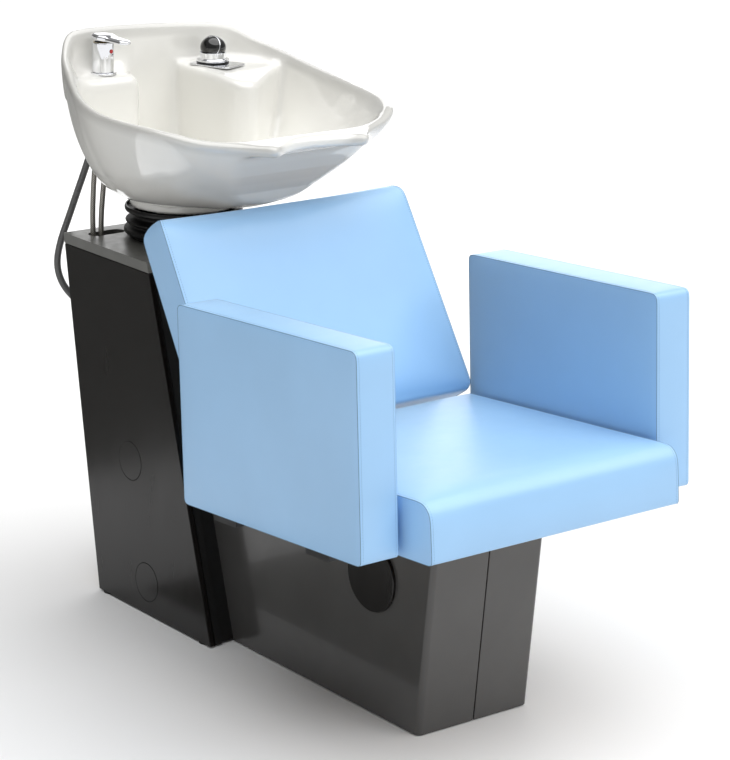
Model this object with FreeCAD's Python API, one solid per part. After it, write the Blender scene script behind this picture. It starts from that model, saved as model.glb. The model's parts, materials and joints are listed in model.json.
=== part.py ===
import FreeCAD, Part
import math
import os

# Backwash unit: an upholstered chair on a black pedestal, with a plumbing
# tower behind it that carries a tilting glazed ceramic basin.
# Millimetres, +Z up, the sitter faces -Y.  Dimensions below are written with
# Y counted backwards from the pedestal's front foot edge; every piece is then
# moved by -Y_REF so that the origin lies under the middle of the footprint.

V = FreeCAD.Vector

# ------------------------------------------------------------ driving sizes
Y_REF = 390.5

# seat and arms (tilted back together)
SEAT_TILT = 3.54          # degrees, rear lower
SEAT_Y, SEAT_Z = -186.0, 374.0   # front lower edge of the seat
SEAT_HW = 252.0           # seat half width
SEAT_LEN = 514.0
SEAT_FRONT_LEAN = 4.0     # front face leans back by this much at its top
SEAT_T_FRONT, SEAT_T_REAR = 101.0, 93.0
SEAT_NOSE_R = 28.0
SEAT_BOARD_T = 15.0
ARM_IN, ARM_OUT = 263.5, 335.0
ARM_S0, ARM_LEN = 59.8, 464.0
ARM_N0, ARM_H = 4.7, 325.0
ARM_EDGE_R = 9.0
ARM_CORE_T = 18.0
FRAME_T = 12.0            # flat bar thickness of the seat frame
SOFT_GAP = 0.3

# backrest
BACK_Y, BACK_Z = 328.0, 448.0    # lower front edge
BACK_RECLINE = 31.9
BACK_HW = 251.0
BACK_LEN = 368.5
BACK_T = 73.0
BACK_BOARD_T = 15.0
BACK_PANEL_T = 4.0
BRACKET_T, BRACKET_W = 8.0, 46.0

# pedestal
PED_HW = 115.4
PED_LEAN = 28.7 / 300.0   # front face leans forward going up
PED_SHEET = 2.5
PED_SEAM = 1.2            # half the open seam at the front
PED_CORNER_R = 10.0
PED_CAP_Y, PED_CAP_Z, PED_CAP_R = 124.0, 238.0, 60.0
PED_CAP_PROUD = 6.0

# tower
TOW_HW = 169.0
TOW_H = 646.0
TOW_PLATE_T = 18.0
TOW_F0, TOW_F1 = 505.0, 699.0    # front line at the floor and at the top
TOW_R0, TOW_R1 = 860.0, 967.0    # rear line
SIDE_T, CARCASS_T, SIDE_GAP = 10.5, 13.0, 2.5
GLIDE_H = 3.0
SIDE_CAPS = [(755.0, 275.0), (704.0, 62.0)]
SIDE_CAP_R = 35.0
SLOT_X, SLOT_Y, SLOT_L, SLOT_W = -105.0, 925.0, 72.0, 30.0
ANCHOR_X, ANCHOR_Y = 110.0, (600.0, 790.0)
ANCHOR_HOLE_R = 5.5

# tilt hinge under the basin
HINGE_Y, HINGE_Z = 834.0, 676.0
HINGE_PIN_R, HINGE_BUSH_R, HINGE_CLEAR = 5.0, 7.0, 0.03
HINGE_PLATE_R = 80.0
BELLOWS_TOP = 703.6

# basin
FOOT_Y, FOOT_R, FOOT_Z = 834.0, 99.0, 704.0
BODY_Z = 719.0
FLOOR_Z, FLOOR_R = 738.0, 72.0
DECK_Z = 937.0
DECK_UNDER = 902.0
# plan of the right deck's edge towards the bowl, its hollow inside, and how its top falls to the front
DECK_EDGE = [(52, 960), (50, 900), (50, 850), (52, 800), (55, 772), (64, 753), (80, 745), (98, 750),
             (130, 774), (170, 806), (215, 842), (290, 902)]
DECK_HOLLOW = [(68, 960), (65, 900), (65, 850), (67, 800), (71, 777), (82, 764), (98, 769), (122, 788),
               (160, 818), (205, 854), (290, 922)]
DECK_FALL = [(720, 927.0), (760, 930.0), (800, 932.7), (845, 935.5), (880, 937.0)]
RIM_OUT = [(0, 408), (50, 409), (80, 412), (98, 421), (112, 440), (131, 462),
           (160, 480.5), (199, 497), (236, 528), (258, 579), (267, 630),
           (272, 687), (270.5, 729), (261, 777), (246, 818), (233, 850),
           (217, 890), (201, 914), (186, 931), (165, 942.5), (130, 948),
           (70, 951), (0, 952)]
RIM_IN = [(0, 492), (50, 492), (90, 491), (125, 493), (158, 501), (190, 516),
          (216, 542), (238, 586), (250, 632), (257, 687), (255.5, 727),
          (247, 772), (233, 812), (219, 845), (203, 884), (188, 905),
          (174, 919), (157, 928), (125, 932.5), (68, 935.5), (0, 936)]
RIM_Y = [395, 437, 462, 480, 498.5, 531, 582, 630, 687, 729, 777, 818, 850,
         892, 916, 930.5, 942, 948, 956]
RIM_Z = [884, 886, 885, 886, 892, 904, 911, 914, 918, 924, 935, 948, 960,
         978, 994, 1006, 1015, 1019, 1023]
BELLY_OUT = [1.65, 1.12, 1.35, 2.05, 2.10]
BELLY_IN = [1.65, 1.25, 1.50, 2.10, 2.10]
BELLY_AT = [0.0, 50.0, 95.0, 140.0, 180.0]
NECK_R, NECK_CY = 119.0, 343.0

# waste pipe: the hose slips over its lower stretch, up to a bead
TAIL_R, TAIL_Z, TAIL_L = 20.0, 588.0, 45.0

# mixer tap and hand shower on the rear deck
MIX_X, MIX_Y = -123.0, 903.0
MIX_R, MIX_H = 18.7, 57.0
LEVER_TURN = 15.0          # degrees, where the lever points at rest
SHW_X, SHW_Y = 100.0, 889.0
SHOWER_TRAVEL = 90.0

# hoses (route points are listed with the hoses below)
SUPPLY_D = 9.6
SHOWER_D = 12.5


# ------------------------------------------------------------ helpers
def box(x0, x1, y0, y1, z0, z1):
    return Part.makeBox(x1 - x0, y1 - y0, z1 - z0, V(x0, y0, z0))


def cyl(p, d, r, h):
    return Part.makeCylinder(r, h, V(*p), V(*d))


def tube(p, d, ro, ri, h):
    return cyl(p, d, ro, h).cut(cyl(p, d, ri, h))


def prism_x(pts, x0, x1):
    w = Part.makePolygon([V(x0, y, z) for y, z in pts] + [V(x0, pts[0][0], pts[0][1])])
    return Part.Face(w).extrude(V(x1 - x0, 0, 0))


def prism_z(pts, z0, z1):
    w = Part.makePolygon([V(x, y, z0) for x, y in pts] + [V(pts[0][0], pts[0][1], z0)])
    return Part.Face(w).extrude(V(0, 0, z1 - z0))


def hexagon(p, d, af, h):
    r = af / math.sqrt(3.0)
    pts = [V(r * math.cos(math.radians(60 * i)), r * math.sin(math.radians(60 * i)), 0)
           for i in range(6)]
    s = Part.Face(Part.makePolygon(pts + [pts[0]])).extrude(V(0, 0, h))
    s.Placement = FreeCAD.Placement(V(*p), FreeCAD.Rotation(V(0, 0, 1), V(*d)))
    return s


def mir(s):
    return s.mirror(V(0, 0, 0), V(1, 0, 0))


def fuse(parts):
    s = parts[0]
    for p in parts[1:]:
        s = s.fuse(p)
    return s.removeSplitter()


def group(parts):
    return Part.makeCompound(parts)


def seat(s):
    s = s.copy()
    s.rotate(V(0, 0, 0), V(1, 0, 0), -SEAT_TILT)
    s.translate(V(0, SEAT_Y, SEAT_Z))
    return s


def back(s):
    s = s.copy()
    s.rotate(V(0, 0, 0), V(1, 0, 0), -BACK_RECLINE)
    s.translate(V(0, BACK_Y, BACK_Z))
    return s


def edges_where(s, test):
    out = []
    for e in s.Edges:
        a, b = e.Vertexes[0].Point, e.Vertexes[-1].Point
        if test(a, b):
            out.append(e)
    return out


NODES = {}


def node(name, shape):
    shape = shape.copy()
    shape.translate(V(0, -Y_REF, 0))
    NODES[name] = shape


def front_y(z):
    return TOW_F0 + (TOW_F1 - TOW_F0) * z / TOW_H


def rear_y(z):
    return TOW_R0 + (TOW_R1 - TOW_R0) * z / TOW_H


# ------------------------------------------------------------ floor glides
glides = [cyl((sx * 156.0, y, 0), (0, 0, 1), 14.0, GLIDE_H)
          for sx in (-1, 1) for y in (535.0, 840.0)]
glides += [cyl((sx * 75.0, 48.0, 0), (0, 0, 1), 16.0, GLIDE_H) for sx in (-1, 1)]
node("floor_glides", group(glides))

# ------------------------------------------------------------ tower
top_z = TOW_H - TOW_PLATE_T
x_side0 = TOW_HW - SIDE_T
x_carc1 = x_side0 - SIDE_GAP
x_carc0 = x_carc1 - CARCASS_T
profile = [(front_y(GLIDE_H), GLIDE_H), (rear_y(GLIDE_H), GLIDE_H),
           (rear_y(top_z - 1.0), top_z - 1.0), (front_y(top_z - 1.0), top_z - 1.0)]
inset = [(front_y(GLIDE_H) + 2.5, GLIDE_H), (rear_y(GLIDE_H) - 2.5, GLIDE_H),
         (rear_y(top_z) - 2.5, top_z), (front_y(top_z) + 2.5, top_z)]

side = prism_x(profile, x_side0, TOW_HW)
carc = prism_x(inset, x_carc0, x_carc1)
bolts, caps = [], []
for cy, cz in SIDE_CAPS:
    side = side.cut(cyl((TOW_HW - 6.0, cy, cz), (1, 0, 0), SIDE_CAP_R + 0.35, 7.0))
    side = side.cut(cyl((x_side0 - 1, cy, cz), (1, 0, 0), 4.2, SIDE_T))
    carc = carc.cut(cyl((x_carc0 - 1, cy, cz), (1, 0, 0), 4.2, CARCASS_T + 2))
    carc = carc.fuse(tube((x_carc1 - 0.5, cy, cz), (1, 0, 0), 20.0, 4.2, SIDE_GAP + 0.5)).removeSplitter()
    b = cyl((TOW_HW - 6.0, cy, cz), (1, 0, 0), 8.0, 3.0)
    b = b.fuse(cyl((x_carc0 - 9.0, cy, cz), (1, 0, 0), 4.0, TOW_HW - 6.0 - x_carc0 + 9.0))
    bolts.append(b.removeSplitter())
    c = cyl((TOW_HW - 2.4, cy, cz), (1, 0, 0), SIDE_CAP_R, 2.6)
    c = c.fuse(tube((TOW_HW - 6.0, cy, cz), (1, 0, 0), SIDE_CAP_R, SIDE_CAP_R - 5.0, 3.6))
    caps.append(c.removeSplitter())
node("tower_side_panel_right", side)
node("tower_side_panel_left", mir(side))
node("tower_carcass", group([carc, mir(carc)]))
node("panel_bolts", group(bolts + [mir(s) for s in bolts]))
node("panel_caps", group(caps + [mir(s) for s in caps]))
panel_nuts = [hexagon((x_carc0, cy, cz), (-1, 0, 0), 13.0, 6.5).cut(
    cyl((x_carc0 - 8, cy, cz), (1, 0, 0), 4.05, 9.0)) for cy, cz in SIDE_CAPS]
panel_nuts += [mir(s) for s in panel_nuts]

hw_in = x_carc0 - 0.2
zt = top_z - 0.4
node("tower_front_panel", prism_x(
    [(front_y(GLIDE_H) + 8.0, GLIDE_H), (front_y(GLIDE_H) + 20.0, GLIDE_H),
     (front_y(zt) + 20.0, zt), (front_y(zt) + 8.0, zt)], -hw_in, hw_in))

rail_f = box(-hw_in, hw_in, 545.0, 561.0, GLIDE_H, 63.0)
# the rear rail is open in the middle, where the waste pipe goes down
rail_r = prism_x([(rear_y(GLIDE_H) - 16.5, GLIDE_H), (rear_y(GLIDE_H) - 0.5, GLIDE_H),
                  (rear_y(68.0) - 0.5, 68.0), (rear_y(68.0) - 16.5, 68.0)], 42.0, hw_in)

lean_r = math.atan2(TOW_R1 - TOW_R0, TOW_H)
n_rear = (0.0, math.cos(lean_r), -math.sin(lean_r))
# the cover stops above the rail, so that pipes can come in at the foot
cover = prism_x([(rear_y(130.0) - 12.5, 130.0), (rear_y(130.0) - 0.5, 130.0),
                 (rear_y(622.0) - 0.5, 622.0), (rear_y(622.0) - 12.5, 622.0)], -hw_in, hw_in)
batten = prism_x([(rear_y(80.0) - 32.7, 80.0), (rear_y(80.0) - 12.7, 80.0),
                  (rear_y(500.0) - 12.7, 500.0), (rear_y(500.0) - 32.7, 500.0)],
                 x_carc0 - 22.2, hw_in)
batten_f = prism_x([(front_y(70.0) + 20.2, 70.0), (front_y(70.0) + 40.2, 70.0),
                    (front_y(600.0) + 40.2, 600.0), (front_y(600.0) + 20.2, 600.0)],
                   x_carc0 - 22.2, hw_in)
screws = []
for z in (160.0, 315.0, 470.0):
    x, y = x_carc0 - 11.0, rear_y(z) - 0.5
    d = V(*n_rear)
    p = V(x, y, z)
    cover = cover.cut(cyl(tuple(p - d * 20), n_rear, 2.5, 30.0))
    cover = cover.cut(cyl(tuple(V(-x, y, z) - d * 20), n_rear, 2.5, 30.0))
    batten = batten.cut(cyl(tuple(p - d * 40), n_rear, 2.35, 50.0))
    s = cyl(tuple(p - d * 26), n_rear, 2.2, 26.5).fuse(cyl(tuple(p + d * 0.2), n_rear, 4.6, 2.6))
    screws.append(s.removeSplitter())
node("tower_rear_cover", cover)
node("rear_cover_screws", group(screws + [mir(s) for s in screws]))

cleat = box(x_carc0 - 18.0, hw_in, 722.0, 888.0, top_z - 20.0, top_z - 0.1)
node("tower_battens", group([batten, mir(batten), batten_f, mir(batten_f), cleat, mir(cleat), rail_f, rail_r, mir(rail_r)]))

plate = prism_x([(front_y(top_z), top_z), (rear_y(top_z), top_z),
                 (rear_y(TOW_H), TOW_H), (front_y(TOW_H), TOW_H)], -TOW_HW, TOW_HW)
plate = plate.cut(cyl((0, HINGE_Y, top_z - 1), (0, 0, 1), 46.0, TOW_PLATE_T + 2))
r_slot = SLOT_W / 2.0
half = SLOT_L / 2.0 - r_slot
slot = box(SLOT_X - half, SLOT_X + half, SLOT_Y - r_slot, SLOT_Y + r_slot, top_z - 1, TOW_H + 1)
for sx in (-half, half):
    slot = slot.fuse(cyl((SLOT_X + sx, SLOT_Y, top_z - 1), (0, 0, 1), r_slot, TOW_PLATE_T + 2))
plate = plate.cut(slot)
BASE_BOLTS = [(sx * 48.0, HINGE_Y + sy * 48.0) for sx in (-1, 1) for sy in (-1, 1)]
for x, y in BASE_BOLTS:
    plate = plate.cut(cyl((x, y, top_z - 1), (0, 0, 1), 4.3, TOW_PLATE_T + 2))
node("tower_top_plate", plate)

# floor anchors: folded steel angles inside the tower foot
anchors = []
for y in ANCHOR_Y:
    a = box(x_carc0 - 46.0, x_carc0 - 0.1, y - 20, y + 20, 0.6, 4.6)
    a = a.fuse(box(x_carc0 - 4.1, x_carc0 - 0.1, y - 20, y + 20, 4.6, 50.0)).removeSplitter()
    a = a.cut(cyl((ANCHOR_X, y, 0), (0, 0, 1), ANCHOR_HOLE_R, 8.0))
    anchors.append(a)
node("floor_anchor_angles", group(anchors + [mir(a) for a in anchors]))

# ------------------------------------------------------------ pedestal
def seat_under(y, n):
    # height of the plane n millimetres above the seat's lower face, at y
    t = math.radians(SEAT_TILT)
    return SEAT_Z - (y - SEAT_Y) * math.tan(t) + n / math.cos(t)


N_TOP = -FRAME_T - 1.0
zb = 2.0
y_top_f = -PED_LEAN * seat_under(-30.0, N_TOP)
z_tf = seat_under(y_top_f, N_TOP)


def ped_profile(dy_front, z_low, n_top, gap_rear):
    yf0 = -PED_LEAN * z_low + dy_front
    yft = -PED_LEAN * z_tf + dy_front
    zft = seat_under(yft, n_top)
    # rear edge runs up the tower's recessed front panel
    y_r = 604.0
    z_r = seat_under(y_r, n_top)
    return [(yf0, z_low), (front_y(z_low) + 8.0 - gap_rear, z_low),
            (front_y(z_r) + 8.0 - gap_rear, z_r), (yft, zft)]


shell = prism_x(ped_profile(0.0, zb, N_TOP, 0.3), PED_SEAM, PED_HW)
corner = edges_where(shell, lambda a, b: abs(a.x - PED_HW) < 0.1 and abs(b.x - PED_HW) < 0.1
                     and min(a.z, b.z) < zb + 1 and max(a.z, b.z) > 200 and max(a.y, b.y) < 20)
shell = shell.makeFillet(PED_CORNER_R, corner)
core = prism_x(ped_profile(PED_SHEET, -40.0, 60.0, -60.0), -20.0, PED_HW - PED_SHEET)
corner = edges_where(core, lambda a, b: abs(a.x - PED_HW + PED_SHEET) < 0.1
                     and abs(b.x - PED_HW + PED_SHEET) < 0.1
                     and min(a.z, b.z) < -30 and max(a.z, b.z) > 200 and max(a.y, b.y) < 40)
core = core.makeFillet(PED_CORNER_R - PED_SHEET, corner)
shell = shell.cut(core)
shell = shell.cut(cyl((PED_HW - 10, PED_CAP_Y, PED_CAP_Z), (1, 0, 0), 5.2, 20.0))
node("pedestal_shell_right", shell)
node("pedestal_shell_left", mir(shell))
cap = cyl((PED_HW + 0.1, PED_CAP_Y, PED_CAP_Z), (1, 0, 0), PED_CAP_R, PED_CAP_PROUD)
rim_e = [e for e in cap.Edges if abs(e.BoundBox.XMin - PED_HW - 0.1 - PED_CAP_PROUD) < 0.01
         and abs(e.BoundBox.XMax - PED_HW - 0.1 - PED_CAP_PROUD) < 0.01]
cap = cap.makeFillet(2.0, rim_e)
cap = cap.fuse(cyl((PED_HW - 18.0, PED_CAP_Y, PED_CAP_Z), (1, 0, 0), 5.0, 19.0)).removeSplitter()
node("pedestal_caps", group([cap, mir(cap)]))

# folded sheet that closes the pedestal between the backrest and the tower
y_c0, y_c1 = 376.0, 604.0
tc = prism_x([(y_c0, seat_under(y_c0, N_TOP - 3.0)), (front_y(seat_under(y_c1, N_TOP - 3.0)) + 7.4, seat_under(y_c1, N_TOP - 3.0)),
              (front_y(seat_under(y_c1, N_TOP - 1.0)) + 7.4, seat_under(y_c1, N_TOP - 1.0)), (y_c0, seat_under(y_c0, N_TOP - 1.0))],
             -PED_HW + PED_SHEET + 0.2, PED_HW - PED_SHEET - 0.2)
for sx in (-1, 1):
    xa, xb = sorted((sx * (PED_HW - PED_SHEET - 0.2), sx * (PED_HW - PED_SHEET - 2.2)))
    tc = tc.fuse(prism_x([(y_c0, seat_under(y_c0, N_TOP - 26.0)), (y_c1 - 20, seat_under(y_c1 - 20, N_TOP - 26.0)),
                          (y_c1 - 20, seat_under(y_c1 - 20, N_TOP - 2.0)), (y_c0, seat_under(y_c0, N_TOP - 2.0))], xa, xb))
node("pedestal_top_cover", tc.removeSplitter())

# welded steel frame inside the pedestal
frame_parts = []
T = 40.0


def rect_tube(x0, x1, y0, y1, z0, z1, axis, t=3.0):
    o = box(x0, x1, y0, y1, z0, z1)
    if axis == "y":
        i = box(x0 + t, x1 - t, y0 - 1, y1 + 1, z0 + t, z1 - t)
    else:
        i = box(x0 + t, x1 - t, y0 + t, y1 - t, z0 - 1, z1 + 1)
    return o.cut(i)


cut_above = seat(box(-400, 400, -200, 900, -FRAME_T - 8.0, 400))
for sx in (-1, 1):
    xa, xb = sorted((sx * 55.0, sx * 95.0))
    frame_parts.append(rect_tube(xa, xb, 30.0, 500.0, GLIDE_H, GLIDE_H + T, "y"))
    for yp in (40.0, 150.0):
        post = rect_tube(xa, xb, yp, yp + T, GLIDE_H + T, 400.0, "z").cut(cut_above)
        frame_parts.append(post)
for yp in (44.0, 440.0):
    frame_parts.append(box(-55.0, 55.0, yp, yp + 30.0, GLIDE_H, GLIDE_H + 6.0))
top = box(-106.0, 106.0, 214.0, 380.0, -FRAME_T - 8.0, -FRAME_T)
TOP_BOLTS = [(sx * 84.0, s) for sx in (-1, 1) for s in (288.0, 318.0)]
frame_bolts = []
for x, s in TOP_BOLTS:
    top = top.cut(cyl((x, s, -FRAME_T - 10), (0, 0, 1), 4.3, 14.0))
frame_parts.append(seat(top))
ped_frame = fuse(frame_parts)
# post tops stay open for the bolt heads that sit outside the posts
node("pedestal_frame", ped_frame)

# ------------------------------------------------------------ seat frame
bars = [box(-326, 326, 150, 210, -FRAME_T, 0), box(-326, 326, 396, 456, -FRAME_T, 0)]
for sx in (-1, 1):
    xa, xb = sorted((sx * 54.0, sx * 108.0))
    bars.append(box(xa, xb, 60, 510, -FRAME_T, 0))
for sx in (-1, 1):
    xa, xb = sorted((sx * (ARM_IN + 6.0), sx * (ARM_OUT - 6.0)))
    bars.append(box(xa, xb, ARM_S0 + 70, ARM_S0 + ARM_LEN - 60, 0.0, ARM_N0))
sframe = fuse(bars)
ARM_BOLTS = [(sx * 299.0, s) for sx in (-1, 1) for s in (180.0, 426.0)]
SEAT_SCREWS = [(sx * 190.0, s) for sx in (-1, 1) for s in (180.0, 426.0)]
BRK_BOLTS = [(sx * 85.0, s) for sx in (-1, 1) for s in (470.0, 496.0)]
for x, s in ARM_BOLTS + TOP_BOLTS + BRK_BOLTS:
    sframe = sframe.cut(cyl((x, s, -FRAME_T - 1), (0, 0, 1), 4.3, FRAME_T + 8))
for x, s in SEAT_SCREWS:
    sframe = sframe.cut(cyl((x, s, -FRAME_T - 1), (0, 0, 1), 3.3, FRAME_T + 2))
node("seat_frame", seat(sframe))

board = box(-SEAT_HW + 8, SEAT_HW - 8, 9, SEAT_LEN - 8, 0.0, SEAT_BOARD_T)
for x, s in TOP_BOLTS + BRK_BOLTS:
    board = board.cut(cyl((x, s, -1), (0, 0, 1), 8.0, 10.0))
for x, s in SEAT_SCREWS:
    board = board.cut(cyl((x, s, -1), (0, 0, 1), 2.9, 13.0))
node("seat_board", seat(board))

cush = prism_x([(0, 0), (SEAT_LEN, 0), (SEAT_LEN, SEAT_T_REAR), (SEAT_FRONT_LEAN, SEAT_T_FRONT)],
               -SEAT_HW, SEAT_HW)
nose = edges_where(cush, lambda a, b: abs(a.y - SEAT_FRONT_LEAN) < 0.1 and abs(b.y - SEAT_FRONT_LEAN) < 0.1)
cush = cush.makeFillet(SEAT_NOSE_R, nose)
cush = cush.cut(box(-SEAT_HW + 8 - SOFT_GAP, SEAT_HW - 8 + SOFT_GAP, 9 - SOFT_GAP,
                    SEAT_LEN - 8 + SOFT_GAP, -1, SEAT_BOARD_T + SOFT_GAP))
node("seat_cushion", seat(cush))


def bolt_up(x, s, n0, length, r, af, head):
    h = hexagon((x, s, n0 - head), (0, 0, 1), af, head)
    return h.fuse(cyl((x, s, n0 - 0.5), (0, 0, 1), r, length + 0.5)).removeSplitter()


seat_screws = ([seat(bolt_up(x, s, -FRAME_T, FRAME_T + 11.0, 2.8, 10.0, 4.0))
                for x, s in SEAT_SCREWS])
node("arm_bolts", group([seat(bolt_up(x, s, -FRAME_T, FRAME_T + 52.0, 4.0, 13.0, 5.3))
                         for x, s in ARM_BOLTS]))
fb = []
for x, s in TOP_BOLTS:
    b = cyl((x, s, -FRAME_T - 8.0 - 6.0), (0, 0, 1), 4.0, FRAME_T + 14.0)
    b = b.fuse(hexagon((x, s, 0.0), (0, 0, 1), 13.0, 5.3)).removeSplitter()
    fb.append(b)
frame_bolts = [seat(b) for b in fb]

# ------------------------------------------------------------ arms
a_core = box(ARM_IN + 26.0, ARM_IN + 26.0 + ARM_CORE_T, ARM_S0 + 20, ARM_S0 + ARM_LEN - 20,
             ARM_N0, ARM_N0 + ARM_H - 20)
pocket = box(ARM_IN + 26.0 - SOFT_GAP, ARM_IN + 26.0 + ARM_CORE_T + SOFT_GAP, ARM_S0 + 20 - SOFT_GAP,
             ARM_S0 + ARM_LEN - 20 + SOFT_GAP, ARM_N0 - 1, ARM_N0 + ARM_H - 20 + SOFT_GAP)
for x, s in ARM_BOLTS:
    if x > 0:
        a_core = a_core.cut(cyl((x, s, ARM_N0 - 1), (0, 0, 1), 4.1, 53.0))
arm = box(ARM_IN, ARM_OUT, ARM_S0, ARM_S0 + ARM_LEN, ARM_N0, ARM_N0 + ARM_H)
arm = arm.makeFillet(ARM_EDGE_R, [e for e in arm.Edges if e.BoundBox.ZMax > ARM_N0 + 1])
arm = arm.cut(pocket)
node("armrest_pad_right", seat(arm))
node("armrest_pad_left", seat(mir(arm)))
node("arm_cores", group([seat(a_core), seat(mir(a_core))]))

# ------------------------------------------------------------ backrest
bb = box(-BACK_HW + 14, BACK_HW - 14, BACK_T - BACK_PANEL_T - BACK_BOARD_T, BACK_T - BACK_PANEL_T,
         14.0, BACK_LEN - 14.0)
bpanel = box(-BACK_HW + 8, BACK_HW - 8, BACK_T - BACK_PANEL_T + 0.05, BACK_T, 8.0, BACK_LEN - 8.0)
bc = box(-BACK_HW, BACK_HW, 0, BACK_T, 0, BACK_LEN)
bc = bc.makeFillet(16.0, [e for e in bc.Edges if e.BoundBox.YMax < 1.0])
bc = bc.cut(box(-BACK_HW + 14 - SOFT_GAP, BACK_HW - 14 + SOFT_GAP,
                BACK_T - BACK_PANEL_T - BACK_BOARD_T - SOFT_GAP, BACK_T + 1,
                14.0 - SOFT_GAP, BACK_LEN - 14.0 + SOFT_GAP))
bc = bc.cut(box(-BACK_HW + 8 - SOFT_GAP, BACK_HW - 8 + SOFT_GAP, BACK_T - BACK_PANEL_T - 0.2, BACK_T + 1,
                8.0 - SOFT_GAP, BACK_LEN - 8.0 + SOFT_GAP))
BACK_SCREWS = [(sx * 85.0, u) for sx in (-1, 1) for u in (60.0, 200.0)]
for x, u in BACK_SCREWS:
    bb = bb.cut(cyl((x, BACK_T - BACK_PANEL_T - 13, u), (0, 1, 0), 3.1, 20.0))
    bpanel = bpanel.cut(cyl((x, BACK_T - 20, u), (0, 1, 0), 3.4, 30.0))
node("backrest_board", back(bb))
node("backrest_rear_panel", back(bpanel))
node("backrest_cushion", back(bc))

# bent flat bars from the seat frame up the back of the backrest
ct, st = math.cos(math.radians(SEAT_TILT)), math.sin(math.radians(SEAT_TILT))
cb, sb = math.cos(math.radians(BACK_RECLINE)), math.sin(math.radians(BACK_RECLINE))


def back_to_world(t, u):
    return (BACK_Y + t * cb + u * sb, BACK_Z - t * sb + u * cb)


def seat_to_world(s, n):
    return (SEAT_Y + s * ct + n * st, SEAT_Z - s * st + n * ct)


def cross_lines(p, d, q, e):
    det = d[0] * (-e[1]) + e[0] * d[1]
    rx, ry = q[0] - p[0], q[1] - p[1]
    k = (rx * (-e[1]) + e[0] * ry) / det
    return (p[0] + k * d[0], p[1] + k * d[1])


dir_s, dir_u = (ct, -st), (sb, cb)
in_corner = cross_lines(seat_to_world(400, -FRAME_T), dir_s, back_to_world(BACK_T, 0), dir_u)
out_corner = cross_lines(seat_to_world(400, -FRAME_T - BRACKET_T), dir_s,
                         back_to_world(BACK_T + BRACKET_T, 0), dir_u)
u_top = 250.0
bk = prism_x([seat_to_world(392, -FRAME_T), in_corner, back_to_world(BACK_T, u_top),
              back_to_world(BACK_T + BRACKET_T, u_top), out_corner,
              seat_to_world(392, -FRAME_T - BRACKET_T)], 85.0 - BRACKET_W / 2, 85.0 + BRACKET_W / 2)
bk = bk.makeFillet(14.0, edges_where(bk, lambda a, b: math.hypot(a.y - out_corner[0], a.z - out_corner[1]) < 0.1
                                     and math.hypot(b.y - out_corner[0], b.z - out_corner[1]) < 0.1))
bk = bk.makeFillet(6.0, edges_where(bk, lambda a, b: math.hypot(a.y - in_corner[0], a.z - in_corner[1]) < 0.1
                                    and math.hypot(b.y - in_corner[0], b.z - in_corner[1]) < 0.1))
bk2 = mir(bk)
for x, s in BRK_BOLTS:
    c = seat(cyl((x, s, -FRAME_T - 20), (0, 0, 1), 4.3, 30.0))
    bk, bk2 = bk.cut(c), bk2.cut(c)
for x, u in BACK_SCREWS:
    c = back(cyl((x, BACK_T - 10, u), (0, 1, 0), 3.4, 30.0))
    bk, bk2 = bk.cut(c), bk2.cut(c)
node("backrest_brackets", group([bk, bk2]))
brb = []
for x, s in BRK_BOLTS:
    b = cyl((x, s, -FRAME_T - BRACKET_T - 6.0), (0, 0, 1), 4.0, FRAME_T + BRACKET_T + 6.0)
    b = b.fuse(hexagon((x, s, 0.0), (0, 0, 1), 13.0, 5.3)).removeSplitter()
    brb.append(seat(b))
node("frame_bolts", group(frame_bolts + brb))
brs = []
for x, u in BACK_SCREWS:
    b = cyl((x, BACK_T - BACK_PANEL_T - 12, u), (0, 1, 0), 3.0, BACK_PANEL_T + 12 + BRACKET_T)
    b = b.fuse(cyl((x, BACK_T + BRACKET_T, u), (0, 1, 0), 6.5, 3.5)).removeSplitter()
    brs.append(back(b))
node("upholstery_screws", group(seat_screws + brs))

# ------------------------------------------------------------ tilt hinge
hp = (0.0, HINGE_Y)
base = tube((0, HINGE_Y, TOW_H), (0, 0, 1), HINGE_PLATE_R, 40.0, 6.0)
for x, y in BASE_BOLTS:
    base = base.cut(cyl((x, y, TOW_H - 1), (0, 0, 1), 4.3, 8.0))
ears = []
for sx in (-1, 1):
    xa, xb = sorted((sx * 62.0, sx * 70.0))
    e = box(xa, xb, HINGE_Y - 14, HINGE_Y + 14, TOW_H + 5.0, HINGE_Z)
    e = e.fuse(cyl((xa, HINGE_Y, HINGE_Z), (1, 0, 0), 14.0, 8.0))
    e = e.cut(cyl((xa - 1, HINGE_Y, HINGE_Z), (1, 0, 0), HINGE_BUSH_R, 10.0))
    ears.append(e)
node("tilt_base_plate", fuse([base] + ears))
node("tilt_bushes", group([tube((xa, HINGE_Y, HINGE_Z), (1, 0, 0), HINGE_BUSH_R,
                                HINGE_PIN_R + HINGE_CLEAR, 8.0) for xa in (-70.0, 62.0)]))
bolts, nuts = [], []
for x, y in BASE_BOLTS:
    b = hexagon((x, y, TOW_H + 6.0), (0, 0, 1), 13.0, 5.3)
    b = b.fuse(cyl((x, y, top_z - 10.0), (0, 0, 1), 4.0, TOW_PLATE_T + 16.5)).removeSplitter()
    bolts.append(b)
    nuts.append(hexagon((x, y, top_z - 6.5), (0, 0, 1), 13.0, 6.5).cut(
        cyl((x, y, top_z - 8), (0, 0, 1), 4.05, 10.0)))
node("tilt_base_bolts", group(bolts))
node("nuts_m8", group(nuts + panel_nuts))

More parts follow.
